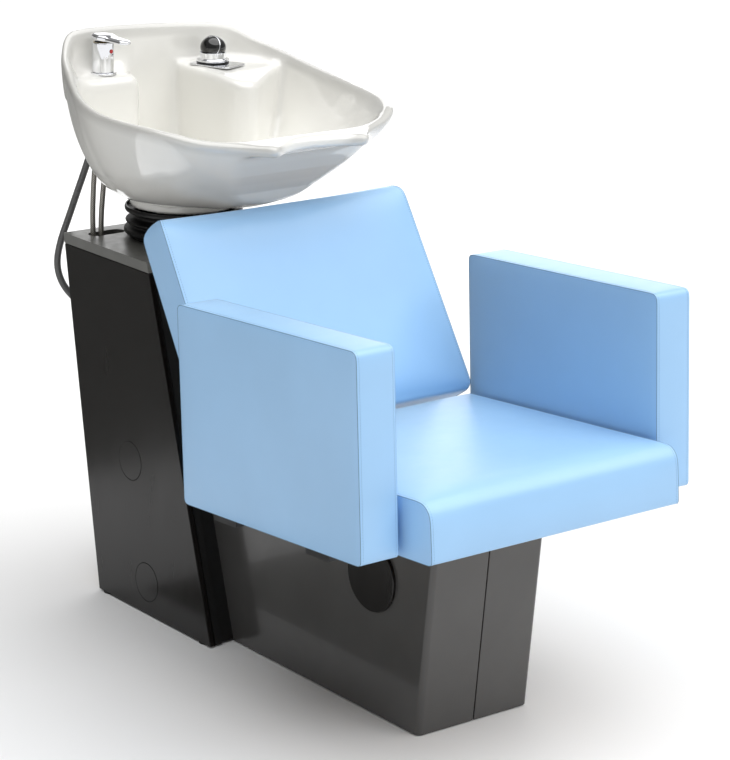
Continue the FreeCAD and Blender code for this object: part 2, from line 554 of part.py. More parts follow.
PT0, PT1 = FOOT_Z - 6.0, FOOT_Z
tp = tube((0, HINGE_Y, PT0), (0, 0, 1), HINGE_PLATE_R, 34.0, 6.0)
FOOT_BOLTS = [(sx * 50.0, HINGE_Y + sy * 36.0) for sx in (-1, 1) for sy in (-1, 1)]
for x, y in FOOT_BOLTS:
    tp = tp.cut(cyl((x, y, PT0 - 1), (0, 0, 1), 4.3, 8.0))
ears = []
for sx in (-1, 1):
    xa, xb = sorted((sx * 70.6, sx * 78.6))
    e = box(xa, xb, HINGE_Y - 12, HINGE_Y + 12, HINGE_Z, PT0 + 1.0)
    e = e.fuse(cyl((xa, HINGE_Y, HINGE_Z), (1, 0, 0), 12.0, 8.0))
    e = e.cut(cyl((xa - 1, HINGE_Y, HINGE_Z), (1, 0, 0), HINGE_PIN_R, 10.0))
    ears.append(e)
tp = fuse([tp] + ears)
node("tilt_top_plate", tp)
pins = []
for sx in (-1, 1):
    xa, xb = sorted((sx * 60.5, sx * 78.8))
    p = cyl((xa, HINGE_Y, HINGE_Z), (1, 0, 0), HINGE_PIN_R, xb - xa)
    ha, hb = sorted((sx * 78.8, sx * 81.4))
    pins.append(p.fuse(cyl((ha, HINGE_Y, HINGE_Z), (1, 0, 0), 8.0, hb - ha)).removeSplitter())
node("tilt_hinge_pins", group(pins))
node("basin_bolts", group([hexagon((x, y, PT0 - 5.3), (0, 0, 1), 13.0, 5.3).fuse(
    cyl((x, y, PT0 - 0.5), (0, 0, 1), 4.0, 19.0)).removeSplitter() for x, y in FOOT_BOLTS]))

# rubber bellows: profile radius against height, 2.5 thick
bz = [(96, 646.4), (98, 650), (104, 653), (107, 658), (105.5, 663), (98, 667), (97, 670.5),
      (103, 674), (103, 678), (92, 683), (90.5, 687), (93, 690.5), (103.5, 694), (105.5, 699), (104, BELLOWS_TOP)]
outer = [V(r, 0, z) for r, z in bz]
inner = [V(r - 2.5, 0, z) for r, z in reversed(bz)]
w = Part.makePolygon(outer + inner + [outer[0]])
bel = Part.Face(w).revolve(V(0, 0, 0), V(0, 0, 1), 360)
bel.translate(V(0, HINGE_Y, 0))
node("bellows", bel)

# ------------------------------------------------------------ basin
def lerp(xs, ys, x):
    if x <= xs[0]:
        return ys[0]
    for i in range(1, len(xs)):
        if x <= xs[i]:
            k = (x - xs[i - 1]) / float(xs[i] - xs[i - 1])
            return ys[i - 1] + k * (ys[i] - ys[i - 1])
    return ys[-1]


def smooth_rim(y):
    return sum(lerp(RIM_Y, RIM_Z, y + d) * wt for d, wt in ((-9, 0.25), (0, 0.5), (9, 0.25)))


def loop(half):
    return list(half) + [(-x, y) for x, y in reversed(half[1:-1])]


def bowl_wires(half, foot_r, z0, belly, levels, z_top, dz):
    pts = loop(half)
    wires = []
    for wl in levels:
        ring = []
        for x, y in pts:
            ph = math.atan2(x, 740.0 - y)
            e = lerp(BELLY_AT, belly, abs(math.degrees(ph)))
            a = wl * math.pi / 2
            h = math.sin(a) ** (2.0 / e)
            v = 1 - math.cos(a) ** (2.0 / e)
            fx, fy = foot_r * math.sin(ph), FOOT_Y - foot_r * math.cos(ph)
            ring.append(V(fx + (x - fx) * h, fy + (y - fy) * h, z0 + (smooth_rim(y) + dz - z0) * v))
        wires.append(ring)
    wires.append([V(x, y, z_top) for x, y in pts])
    out = []
    for ring in wires:
        c = Part.BSplineCurve()
        c.interpolate(Points=ring, PeriodicFlag=True)
        out.append(Part.Wire([c.toShape()]))
    return out


levels = [0.0, 0.1, 0.2, 0.3, 0.4, 0.5, 0.6, 0.7, 0.8, 0.9, 1.0]
body = Part.makeLoft(bowl_wires(RIM_OUT, FOOT_R, BODY_Z, BELLY_OUT, levels, 1080.0, 2.0), True, True)
cav = Part.makeLoft(bowl_wires(RIM_IN, FLOOR_R, FLOOR_Z, BELLY_IN, levels, 1090.0, 2.0), True, True)

rim_pts = [V(-400, y, smooth_rim(y)) for y in (380, 400, 430, 460, 490, 520, 560, 600, 640, 680, 720, 760,
                                               800, 840, 880, 905, 925, 940, 950, 960)]
rc = Part.BSplineCurve()
rc.interpolate(rim_pts)
e0 = rc.toShape()
p0, p1 = rim_pts[0], rim_pts[-1]
cutter = Part.Face(Part.Wire([e0, Part.makeLine(p1, V(-400, 1050, p1.z + 30)),
                              Part.makeLine(V(-400, 1050, p1.z + 30), V(-400, 1050, 1200)),
                              Part.makeLine(V(-400, 1050, 1200), V(-400, 380, 1200)),
                              Part.makeLine(V(-400, 380, 1200), p0)])).extrude(V(800, 0, 0))

# tap decks: the bowl's rear corners are filled up to the deck
def plan_prism(pts, z0, z1):
    c = Part.BSplineCurve()
    c.interpolate([V(x, y, z0) for x, y in pts])
    p, q = V(pts[0][0], pts[0][1], z0), V(pts[-1][0], pts[-1][1], z0)
    return Part.Face(Part.Wire([c.toShape(), Part.makeLine(q, V(q.x, 1000, z0)),
                                Part.makeLine(V(q.x, 1000, z0), V(p.x, 1000, z0)),
                                Part.makeLine(V(p.x, 1000, z0), p)])).extrude(V(0, 0, z1 - z0))


ft = Part.BSplineCurve()
ft.interpolate([V(0, y, z) for y, z in DECK_FALL])
f0, f1 = V(0, *DECK_FALL[0]), V(0, *DECK_FALL[-1])
deck_r = plan_prism(DECK_EDGE, 700.0, 1000.0).common(Part.Face(Part.Wire([
    ft.toShape(), Part.makeLine(f1, V(0, 1010, f1.z)), Part.makeLine(V(0, 1010, f1.z), V(0, 1010, 690)),
    Part.makeLine(V(0, 1010, 690), V(0, f0.y, 690)), Part.makeLine(V(0, f0.y, 690), f0)])).extrude(V(400, 0, 0)))
deck_l = box(-330, -62, 862, 1000, 700, DECK_Z)
deck_l = deck_l.makeFillet(28.0, edges_where(deck_l, lambda a, b: abs(a.x + 62) < 0.1 and abs(b.x + 62) < 0.1
                                             and abs(a.y - 862) < 0.1 and abs(b.y - 862) < 0.1))
# the right block is hollow, open to the rear
hollow = cav.common(plan_prism(DECK_HOLLOW, 752.0, DECK_UNDER))
cav = cav.cut(deck_r).cut(deck_l)
basin = body.fuse(cyl((0, FOOT_Y, FOOT_Z), (0, 0, 1), FOOT_R - 3.0, BODY_Z - FOOT_Z + 3.0)).removeSplitter()
basin = basin.cut(cutter)
basin = basin.cut(cav)
# open underside behind the bowl, below each deck
under = box(78, 400, 873, 1010, 690, DECK_UNDER)
basin = basin.cut(under).cut(mir(under))
basin = basin.cut(hollow)
# neck rest: a rounded notch in the front rim and a deeper hollow under its lip
basin = basin.cut(cyl((0, NECK_CY, 862.0), (0, 0, 1), NECK_R, 80.0))
def scoop_wire(hx, yb, r, z):
    k = r * (1 - math.sqrt(0.5))
    return Part.Wire([
        Part.makeLine(V(-hx, 250, z), V(hx, 250, z)), Part.makeLine(V(hx, 250, z), V(hx, yb - r, z)),
        Part.Arc(V(hx, yb - r, z), V(hx - k, yb - k, z), V(hx - r, yb, z)).toShape(),
        Part.makeLine(V(hx - r, yb, z), V(-hx + r, yb, z)),
        Part.Arc(V(-hx + r, yb, z), V(-hx + k, yb - k, z), V(-hx, yb - r, z)).toShape(),
        Part.makeLine(V(-hx, yb - r, z), V(-hx, 250, z))])


basin = basin.cut(Part.makeLoft([scoop_wire(150.0, 476.0, 70.0, 864.0), scoop_wire(128.0, 572.0, 70.0, 740.0)], True, True))
basin = basin.cut(cyl((MIX_X, MIX_Y, 880), (0, 0, 1), 17.0, 80.0))
basin = basin.cut(cyl((SHW_X, SHW_Y, 880), (0, 0, 1), 20.0, 80.0))
basin = basin.cut(cyl((0, FOOT_Y, 690), (0, 0, 1), 24.0, 60.0))
basin = basin.cut(cyl((0, FOOT_Y, FLOOR_Z - 5.0), (0, 0, 1), 39.0, 30.0))
for x, y in FOOT_BOLTS:
    basin = basin.cut(cyl((x, y, FOOT_Z - 1), (0, 0, 1), 4.3, 16.0))
node("basin", basin)

# ------------------------------------------------------------ waste
wf = FLOOR_Z - 5.0
waste = tube((0, FOOT_Y, wf), (0, 0, 1), 38.6, 20.2, 4.0)
waste = waste.fuse(tube((0, FOOT_Y, 688.0), (0, 0, 1), 23.6, 20.2, wf - 688.0 + 1.0)).removeSplitter()
node("waste_body", waste)
node("waste_nut", hexagon((0, FOOT_Y, 690.5), (0, 0, 1), 55.0, 13.4).cut(
    cyl((0, FOOT_Y, 680), (0, 0, 1), 23.65, 40.0)))
tail = tube((0, FOOT_Y, TAIL_Z), (0, 0, 1), TAIL_R, TAIL_R - 2.0, 700.0 - TAIL_Z)
tail = tail.fuse(tube((0, FOOT_Y, TAIL_Z + TAIL_L), (0, 0, 1), TAIL_R + 1.6, TAIL_R - 2.0, 3.0)).removeSplitter()
node("waste_tailpiece", tail)
stn = cyl((0, FOOT_Y, wf + 4.05), (0, 0, 1), 30.0, 1.6)
for i in range(10):
    a = 2 * math.pi * i / 10
    stn = stn.cut(cyl((15 * math.cos(a), FOOT_Y + 15 * math.sin(a), wf), (0, 0, 1), 2.6, 10.0))
stn = stn.fuse(cyl((0, FOOT_Y, wf + 5.0), (0, 0, 1), 4.0, 9.0)).fuse(
    cyl((0, FOOT_Y, wf + 13.0), (0, 0, 1), 6.5, 3.0)).removeSplitter()
node("hair_strainer", stn)

# ------------------------------------------------------------ mixer tap
def mix(s):
    s = s.copy()
    s.rotate(V(0, 0, 0), V(0, 0, 1), LEVER_TURN)
    s.translate(V(MIX_X, MIX_Y, DECK_Z))
    return s


node("mixer_base_ring", mix(tube((0, 0, 0), (0, 0, 1), 23.5, 16.6, 4.0)))
mb = Part.makeCone(MIX_R, MIX_R + 1.0, MIX_H - 4.0, V(0, 0, 4.0))
mb = mb.fuse(cyl((0, 0, -52.0), (0, 0, 1), 16.3, 57.0)).removeSplitter()
mb = mb.cut(cyl((0, 0, 28.0), (0, 0, 1), 15.0, 60.0))
node("mixer_body", mix(mb))
node("mixer_cartridge", mix(tube((0, 0, 28.05), (0, 0, 1), 14.9, 5.05, MIX_H - 30.0)))
mixer_nut = (mix(hexagon((0, 0, DECK_UNDER - DECK_Z - 9.1), (0, 0, 1), 41.0, 9.0).cut(
    cyl((0, 0, -60), (0, 0, 1), 16.35, 60.0))))
dot = cyl((0, -MIX_R - 0.85, MIX_H - 15.0), (0, -1, 0), 3.6, 0.8)
node("mixer_indicator", mix(dot))
ST = MIX_H
stem = cyl((0, 0, 36.0), (0, 0, 1), 5.0, ST - 36.0 + 3.5)
stem = stem.fuse(box(-5, 5, -5, 18.0, ST + 1.0, ST + 7.5)).removeSplitter()
stem = stem.fuse(cyl((-8.4, 16.0, ST + 5.0), (1, 0, 0), 1.5, 16.8)).removeSplitter()
node("mixer_stem", mix(stem))
lev = cyl((0, 0, ST + 3.0), (0, 0, 1), MIX_R + 1.5, 10.0)
pad = prism_z([(-16, -8), (16, -8), (12.5, -48), (-12.5, -48)], ST + 4.5, ST + 12.0)
pad = pad.fuse(cyl((0, -48, ST + 4.5), (0, 0, 1), 12.5, 7.5)).removeSplitter()
pad.rotate(V(0, -8, ST + 8.0), V(1, 0, 0), 6.0)
lev = lev.fuse(pad).removeSplitter()
lev = lev.cut(box(-5.4, 5.4, -7.0, 24.0, ST, ST + 9.0))
lev = lev.cut(cyl((-8.6, 16.0, ST + 5.0), (1, 0, 0), 1.53, 17.2))
node("mixer_lever", mix(lev))

# ------------------------------------------------------------ hand shower
def shw(s):
    s = s.copy()
    s.translate(V(SHW_X, SHW_Y, DECK_Z))
    return s


pl = box(-36, 25, -57, 30, 0.0, 2.6)
pl = pl.makeFillet(9.0, edges_where(pl, lambda a, b: abs(a.z - b.z) > 1.0))
pl.rotate(V(0, 0, 0), V(0, 0, 1), 20.0)
pl = pl.cut(cyl((0, 0, -5), (0, 0, 1), 19.6, 20.0))
pl = pl.cut(box(-200, 200, 30.5, 200, -5, 20))
node("shower_plate", shw(pl))
node("shower_gasket", shw(tube((0, 0, 2.65), (0, 0, 1), 29.0, 19.6, 2.2)))
hold = tube((0, 0, 4.9), (0, 0, 1), 29.5, 14.2, 4.0)
hold = hold.fuse(tube((0, 0, -88.0), (0, 0, 1), 18.5, 14.2, 93.5))
hold = hold.fuse(Part.makeCone(23.0, 24.0, 13.0, V(0, 0, 8.0)).cut(cyl((0, 0, 0), (0, 0, 1), 14.2, 40.0)))
hold = hold.removeSplitter().cut(Part.makeSphere(22.35, V(0, 0, 30.0)))
node("shower_holder", shw(hold))
shower_nut = shw(hexagon((0, 0, DECK_UNDER - DECK_Z - 9.1), (0, 0, 1), 46.0, 9.0).cut(
    cyl((0, 0, -60), (0, 0, 1), 18.6, 60.0)))
node("deck_nuts", group([mixer_nut, shower_nut]))
# the hand piece: a short stem in the holder and a rounded head facing left and forward
stem2 = cyl((0, 0, -84.0), (0, 0, 1), 13.9, 106.0)
stem2 = stem2.fuse(cyl((0, 0, -96.0), (0, 0, 1), 8.0, 13.0)).removeSplitter()
head = Part.makeSphere(22.0, V(0, 0, 30.0))
hand = stem2.fuse(head).removeSplitter()
fd = V(-0.93, -0.20, 0.30)
fd.normalize()
face_c = V(0, 0, 30.0)
half_space = Part.makeCylinder(60.0, 80.0, face_c + fd * 6.0, fd)
keep = Part.makeCylinder(60.0, 160.0, V(0, 0, -120), V(0, 0, 1))
head_face = head.common(half_space)
hand = hand.cut(half_space.common(box(-100, 100, -100, 100, 12.5, 100)))
head_face = head_face.common(box(-100, 100, -100, 100, 12.6, 100))
sh_face = head_face.copy()
sh_face.translate(fd * 0.05)
node("hand_shower_body", shw(hand))
node("hand_shower_face", shw(sh_face))


# ------------------------------------------------------------ hoses
def cord_path(pts):
    pts = [V(*p) for p in pts]
    edges, start, radii, length = [], pts[0], [], 0.0
    for i in range(1, len(pts) - 1):
        a, b = pts[i] - pts[i - 1], pts[i + 1] - pts[i]
        la, lb = a.Length, b.Length
        ua, ub = a * (1 / la), b * (1 / lb)
        turn = math.acos(max(-1.0, min(1.0, ua.dot(ub))))
        t = 0.45 * min(la, lb)
        r = t / math.tan(turn / 2)
        q0, q1 = pts[i] - ua * t, pts[i] + ub * t
        bis = (ub - ua)
        bis.normalize()
        mid = pts[i] + bis * (r / math.cos(turn / 2) - r)
        edges.append(Part.LineSegment(start, q0).toShape())
        edges.append(Part.Arc(q0, mid, q1).toShape())
        radii.append(r)
        start = q1
    edges.append(Part.LineSegment(start, pts[-1]).toShape())
    length = sum(e.Length for e in edges)
    return Part.Wire(edges), radii, length


def hose(name, pts, d):
    path, radii, length = cord_path(pts)
    t = V(*pts[1]) - V(*pts[0])
    prof = Part.Wire([Part.makeCircle(d / 2.0, V(*pts[0]), t)])
    s = path.makePipeShell([prof], True, True)
    ref = math.pi * d * d / 4 * length
    runs = [(V(*pts[i + 1]) - V(*pts[i])).Length for i in range(len(pts) - 1)]
    print("%s length %.0f  volume ratio %.4f  min radius %.0f (%.1f d)  runs %.0f-%.0f" % (
        name, length, s.Volume / ref, min(radii), min(radii) / d, min(runs), max(runs)))
    node(name, s)


def end_fit(p, q, r, h, bore, af=None):
    # a ferrule on the end p of a hose that comes from q
    d = V(*p) - V(*q)
    d.normalize()
    b = V(*p)
    s = cyl(tuple(b), tuple(d), r, h) if af is None else hexagon(tuple(b), tuple(d), af, h)
    if bore:
        s = s.cut(cyl(tuple(b + d * 3.0), tuple(d), bore, h))
    return s


HOSE_HOT = [(-116, 900, 868), (-115.5, 903, 824), (-116.5, 908, 776), (-118.5, 914, 727), (-120.5, 918.5, 678),
            (-120.5, 919, 630), (-117, 913, 582), (-110, 902, 535), (-101, 889.5, 490), (-92, 877.5, 448)]
HOSE_COLD = [(-129.5, 907, 868), (-131, 912, 824), (-132.5, 918, 776), (-133, 923.5, 727), (-132.5, 927.5, 678),
             (-131, 928, 630), (-128.5, 922.5, 582), (-125.5, 911.5, 535), (-122.5, 898, 490), (-120, 885, 448)]
HOSE_SHOWER = [(-123, 917, 868), (-122.5, 928, 829), (-122, 948, 791), (-122.5, 970, 750), (-125, 992, 707),
               (-131, 1010, 661), (-140, 1025, 616), (-146, 1031, 573), (-139, 1025, 536), (-118, 1013, 505),
               (-85, 1002, 482), (-44, 996, 469), (2, 994, 467), (46, 994, 478), (80, 995, 503),
               (102, 996, 541), (112.5, 995.8, 588), (114, 993.3, 620), (113.2, 989, 654), (111.3, 981.5, 686.5),
               (109.3, 973.2, 708.2), (107.2, 960, 727.7), (105, 943.3, 744.4), (103.2, 924.2, 759.1),
               (101.6, 907.2, 776.3), (100.5, 895.3, 796.4), (100, 889, 818.5), (100, 889, 841)]
hose("supply_hose_hot", HOSE_HOT, SUPPLY_D)
hose("supply_hose_cold", HOSE_COLD, SUPPLY_D)
hose("shower_hose", HOSE_SHOWER, SHOWER_D)
node("supply_ferrules", group([end_fit(HOSE_HOT[0], HOSE_HOT[1], 5.1, 16.2, 0),
                               end_fit(HOSE_COLD[0], HOSE_COLD[1], 5.1, 16.2, 0),
                               end_fit(HOSE_SHOWER[0], HOSE_SHOWER[1], 4.2, 15.0, 0)]))
nut_a = (end_fit(HOSE_HOT[-1], HOSE_HOT[-2], 0, 17.0, 8.3, 22.0))
nut_b = (end_fit(HOSE_COLD[-1], HOSE_COLD[-2], 0, 17.0, 8.3, 22.0))
node("supply_nuts", group([nut_a, nut_b]))

# ------------------------------------------------------------ write
os.makedirs("parts", exist_ok=True)
total = FreeCAD.BoundBox()
solid_box = FreeCAD.BoundBox()
for name, s in NODES.items():
    if not s.isValid():
        print("INVALID", name)
    sol = s.Solids
    if any(k.Volume <= 0 for k in sol) or not sol:
        print("BAD VOLUME", name)
    bb_ = s.BoundBox
    total.add(bb_)
    if "hose" not in name and not name.startswith("supply"):
        solid_box.add(bb_)
    s.exportStep("parts/%s.step" % name)
print("nodes", len(NODES))
print("all", [round(v, 1) for v in (total.XMin, total.XMax, total.YMin, total.YMax, total.ZMin, total.ZMax)])
print("without hoses", [round(v, 2) for v in (solid_box.XMin, solid_box.XMax, solid_box.YMin,
                                              solid_box.YMax, solid_box.ZMin, solid_box.ZMax)])
print("basin volume l", NODES["basin"].Volume / 1e6, "solids", len(NODES["basin"].Solids))
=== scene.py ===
import bpy
import bmesh
import json
import math
import numpy as np
from mathutils import Matrix, Vector

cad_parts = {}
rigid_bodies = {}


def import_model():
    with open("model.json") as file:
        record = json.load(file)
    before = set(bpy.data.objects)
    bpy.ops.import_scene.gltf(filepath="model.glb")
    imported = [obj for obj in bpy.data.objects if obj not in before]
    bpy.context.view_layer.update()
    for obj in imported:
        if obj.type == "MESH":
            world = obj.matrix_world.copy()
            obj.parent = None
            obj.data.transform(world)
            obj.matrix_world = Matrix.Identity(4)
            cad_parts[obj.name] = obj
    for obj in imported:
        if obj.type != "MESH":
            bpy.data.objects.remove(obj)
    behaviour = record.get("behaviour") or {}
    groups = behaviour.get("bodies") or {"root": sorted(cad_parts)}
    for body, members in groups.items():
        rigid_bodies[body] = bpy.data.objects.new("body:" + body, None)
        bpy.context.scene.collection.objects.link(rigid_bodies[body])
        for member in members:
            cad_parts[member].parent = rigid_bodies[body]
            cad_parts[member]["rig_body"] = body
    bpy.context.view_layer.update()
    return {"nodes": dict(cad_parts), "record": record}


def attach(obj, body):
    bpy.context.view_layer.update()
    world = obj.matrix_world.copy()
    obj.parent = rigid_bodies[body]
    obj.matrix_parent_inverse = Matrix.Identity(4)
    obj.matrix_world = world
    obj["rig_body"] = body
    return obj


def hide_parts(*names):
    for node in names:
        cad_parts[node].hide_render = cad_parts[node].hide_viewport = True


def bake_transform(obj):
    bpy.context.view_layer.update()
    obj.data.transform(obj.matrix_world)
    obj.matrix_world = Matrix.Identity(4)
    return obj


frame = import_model()
NODES = frame["nodes"]
scene = bpy.context.scene

# Lengths below are in millimetres with Y counted from the pedestal's front
# foot edge, as in the construction; fit() turns them into the shared frame.
Y_REF = 390.5


def fit(x, y, z):
    return Vector((x / 1000.0, (y - Y_REF) / 1000.0, z / 1000.0))


def fit_np(p):
    p = np.asarray(p, float)
    return (p - np.array([0.0, Y_REF, 0.0])) / 1000.0


# ---------------------------------------------------------------- camera
AZ, EL, ROLL = math.radians(-37.9), math.radians(16.29), math.radians(0.97)
DIST, FOCAL_PX = 4.4765, 2842.97
TARGET = fit(-136.15, 126.58, 569.28)
back_dir = Vector((math.sin(AZ) * math.cos(EL), -math.cos(AZ) * math.cos(EL), math.sin(EL)))
fwd = -back_dir
right = fwd.cross(Vector((0, 0, 1))).normalized()
up = right.cross(fwd)
r2 = math.cos(ROLL) * right + math.sin(ROLL) * up
u2 = -math.sin(ROLL) * right + math.cos(ROLL) * up
cam_data = bpy.data.cameras.new("camera")
cam = bpy.data.objects.new("camera", cam_data)
scene.collection.objects.link(cam)
loc = TARGET + back_dir * DIST
cam.matrix_world = Matrix(((r2.x, u2.x, back_dir.x, loc.x), (r2.y, u2.y, back_dir.y, loc.y),
                           (r2.z, u2.z, back_dir.z, loc.z), (0, 0, 0, 1)))
cam_data.sensor_fit = "VERTICAL"
cam_data.sensor_height = 36.0
cam_data.lens = 36.0 * FOCAL_PX / 760.0
cam_data.clip_end = 200.0
scene.camera = cam
scene.view_settings.view_transform = "Standard"
scene.view_settings.look = "None"


# ---------------------------------------------------------------- materials
def srgb(r, g, b):
    out = []
    for c in (r, g, b):
        c = c / 255.0
        out.append(c / 12.92 if c <= 0.04045 else ((c + 0.055) / 1.055) ** 2.4)
    return tuple(out)


class Mat:
    """A small helper around one node tree, all in object coordinates (metres)."""

    def __init__(self, name):
        self.m = bpy.data.materials.new(name)
        self.m.use_nodes = True
        self.t = self.m.node_tree
        self.b = self.t.nodes["Principled BSDF"]
        self.co = self.t.nodes.new("ShaderNodeTexCoord")

    def node(self, kind, **kw):
        n = self.t.nodes.new(kind)
        for k, v in kw.items():
            setattr(n, k, v)
        return n

    def link(self, a, b):
        self.t.links.new(a, b)

    def set(self, **kw):
        for k, v in kw.items():
            self.b.inputs[k.replace("_", " ")].default_value = v
        return self

    def coords(self, scale=(1, 1, 1), rot=(0, 0, 0), uv=False):
        mp = self.node("ShaderNodeMapping")
        mp.inputs["Scale"].default_value = scale
        mp.inputs["Rotation"].default_value = rot
        self.link(self.co.outputs["UV" if uv else "Object"], mp.inputs["Vector"])
        return mp.outputs["Vector"]

    def noise(self, scale, detail=3.0, rough=0.55, vec=None):
        n = self.node("ShaderNodeTexNoise")
        n.inputs["Scale"].default_value = scale
        n.inputs["Detail"].default_value = detail
        n.inputs["Roughness"].default_value = rough
        self.link(vec if vec is not None else self.co.outputs["Object"], n.inputs["Vector"])
        return n.outputs["Fac"]

    def remap(self, v, a, b, lo=0.3, hi=0.7):
        n = self.node("ShaderNodeMapRange")
        n.inputs["From Min"].default_value = lo
        n.inputs["From Max"].default_value = hi
        n.inputs["To Min"].default_value = a
        n.inputs["To Max"].default_value = b
        self.link(v, n.inputs["Value"])
        return n.outputs["Result"]

    def ramp(self, v, stops):
        n = self.node("ShaderNodeValToRGB")
        r = n.color_ramp
        while len(r.elements) < len(stops):
            r.elements.new(0.5)
        for e, (p, c) in zip(r.elements, stops):
            e.position = p
            e.color = (*c, 1.0)
        self.link(v, n.inputs["Fac"])
        return n.outputs["Color"]

    def color(self, out):
        self.link(out, self.b.inputs["Base Color"])
        return self

    def rough(self, out):
        self.link(out, self.b.inputs["Roughness"])
        return self

    def bump(self, v, strength, dist, prev=None):
        n = self.node("ShaderNodeBump")
        n.inputs["Strength"].default_value = strength
        n.inputs["Distance"].default_value = dist
        self.link(v, n.inputs["Height"])
        if prev is not None:
            self.link(prev, n.inputs["Normal"])
        return n.outputs["Normal"]

    def normal(self, out):
        self.link(out, self.b.inputs["Normal"])
        return self


def shade(c, k):
    return tuple(max(0.0, min(1.0, v * k)) for v in c)


def simple_mat(name, color, rough, metal=0.0, var=0.06, var_scale=14.0, rough_var=0.05, grain=900.0,
               grain_strength=0.08, grain_dist=0.0003, coat=0.0, coat_rough=0.1, spec=0.5):
    k = Mat(name)
    k.set(Metallic=metal, Coat_Weight=coat, Coat_Roughness=coat_rough, Specular_IOR_Level=spec)
    n = k.noise(var_scale, 4.0)
    k.color(k.ramp(n, [(0.3, shade(color, 1 - var)), (0.7, shade(color, 1 + var))]))
    k.rough(k.remap(k.noise(var_scale * 3.0, 4.0), max(0.02, rough - rough_var), rough + rough_var))
    k.normal(k.bump(k.noise(grain, 2.0), grain_strength, grain_dist))
    return k.m


# light-blue upholstery vinyl: fine pebble grain, soft sheen, faint stretch variation
VINYL = srgb(161, 204, 243)
k = Mat("vinyl_light_blue")
k.set(Specular_IOR_Level=0.5, Coat_Weight=0.18, Coat_Roughness=0.28)
k.color(k.ramp(k.noise(5.0, 3.0), [(0.28, shade(VINYL, 0.965)), (0.72, shade(VINYL, 1.03))]))
k.rough(k.remap(k.noise(38.0, 4.0), 0.34, 0.42))
vor = k.node("ShaderNodeTexVoronoi")
vor.inputs["Scale"].default_value = 720.0
k.link(k.co.outputs["Object"], vor.inputs["Vector"])
nb = k.bump(vor.outputs["Distance"], 0.10, 0.0003)
nb = k.bump(k.noise(60.0, 4.0), 0.06, 0.002, nb)
k.normal(nb)
M_VINYL = k.m
M_THREAD = simple_mat("seam_thread", shade(VINYL, 0.62), 0.6, var=0.1, var_scale=400.0, grain=4000.0)
# painted shade: a dark line of vinyl colour laid in each seam crease
M_SEAM_SHADE = simple_mat("seam_crease_shade", shade(VINYL, 0.40), 0.7, var=0.1, var_scale=200.0)

# white glazed ceramic
CERAMIC = srgb(237, 236, 231)
k = Mat("glazed_ceramic")
k.set(Coat_Weight=0.6, Coat_Roughness=0.03, Specular_IOR_Level=0.55)
# painted shade: the rolled rim's colour is darkened down to 72% by a weight that the basin mesh carries on and near the
# rim
rim_shade_attr = k.node("ShaderNodeAttribute")
rim_shade_attr.attribute_name = "rim_painted_shade"
k.color(k.ramp(rim_shade_attr.outputs["Fac"], [(0.0, CERAMIC), (1.0, shade(CERAMIC, 0.72))]))
k.rough(k.remap(k.noise(30.0, 3.0), 0.06, 0.11))
k.normal(k.bump(k.noise(22.0, 1.0), 0.05, 0.002))
M_CERAMIC = k.m

# gloss brown-black laminate of the tower sides
BLACK = srgb(16, 13, 12)
k = Mat("gloss_black_laminate")
k.set(Specular_IOR_Level=0.42)
k.color(k.ramp(k.noise(4.0, 4.0, vec=k.coords((1.0, 1.0, 0.35))), [(0.3, shade(BLACK, 0.85)), (0.7, shade(BLACK, 1.15))]))
k.rough(k.remap(k.noise(9.0, 5.0, vec=k.coords((1.0, 3.0, 0.6))), 0.20, 0.28))
k.normal(k.bump(k.noise(60.0, 1.0), 0.012, 0.0006))
M_GLOSS = k.m
# gloss black enamel on sheet steel
SHEET = srgb(74, 73, 72)
k = Mat("black_enamel_sheet")
k.set(Coat_Weight=0.3, Coat_Roughness=0.06)
k.color(k.ramp(k.noise(5.0, 4.0), [(0.3, shade(SHEET, 0.9)), (0.7, shade(SHEET, 1.1))]))
k.rough(k.remap(k.noise(18.0, 5.0), 0.17, 0.24))
k.normal(k.bump(k.noise(240.0, 2.0), 0.02, 0.0005))
M_SHEET = k.m
M_SATIN = simple_mat("satin_black", srgb(70, 70, 68), 0.42, var=0.14, rough_var=0.06, grain=1400.0, grain_strength=0.06)
M_PLATE = simple_mat("satin_grey_plate", srgb(112, 112, 109), 0.36, var=0.10, rough_var=0.06, grain=1400.0, grain_strength=0.05)
M_MATTE = simple_mat("matte_black_board", srgb(12, 12, 12), 0.62, var=0.2, grain=700.0)
M_FRAME = simple_mat("powder_coated_steel", srgb(34, 34, 35), 0.5, var=0.12, grain=1800.0, grain_strength=0.15)
M_ZINC = simple_mat("zinc_steel", srgb(186, 188, 184), 0.32, metal=1.0, var=0.1, var_scale=60.0, grain=600.0)
M_CHROME = simple_mat("chrome", srgb(232, 233, 236), 0.055, metal=1.0, var=0.02, var_scale=30.0, rough_var=0.02, grain=60.0,
                      grain_strength=0.01)
M_STEEL = simple_mat("stainless", srgb(205, 206, 207), 0.2, metal=1.0, var=0.05, var_scale=80.0, grain=500.0)
M_BRASS = simple_mat("nickel_brass", srgb(196, 176, 128), 0.28, metal=1.0, var=0.08, var_scale=120.0)
M_RUBBER = simple_mat("rubber_black", srgb(22, 22, 23), 0.36, var=0.25, var_scale=40.0, rough_var=0.1, grain=900.0)
M_HOSE = simple_mat("grey_hose", srgb(96, 96, 96), 0.3, var=0.08, var_scale=60.0, grain=700.0)
M_GLOSSPLASTIC = simple_mat("gloss_black_plastic", srgb(9, 9, 9), 0.07, var=0.2, rough_var=0.03, grain=60.0, grain_strength=0.01,
                            coat=0.5, coat_rough=0.03)
M_NYLON = simple_mat("black_nylon", srgb(32, 32, 32), 0.55, var=0.15, grain=900.0)
M_PVC = simple_mat("grey_pvc", srgb(150, 152, 154), 0.4, var=0.05, grain=900.0)
M_RED = simple_mat("indicator_red", srgb(196, 26, 30), 0.2, var=0.05, coat=0.5)

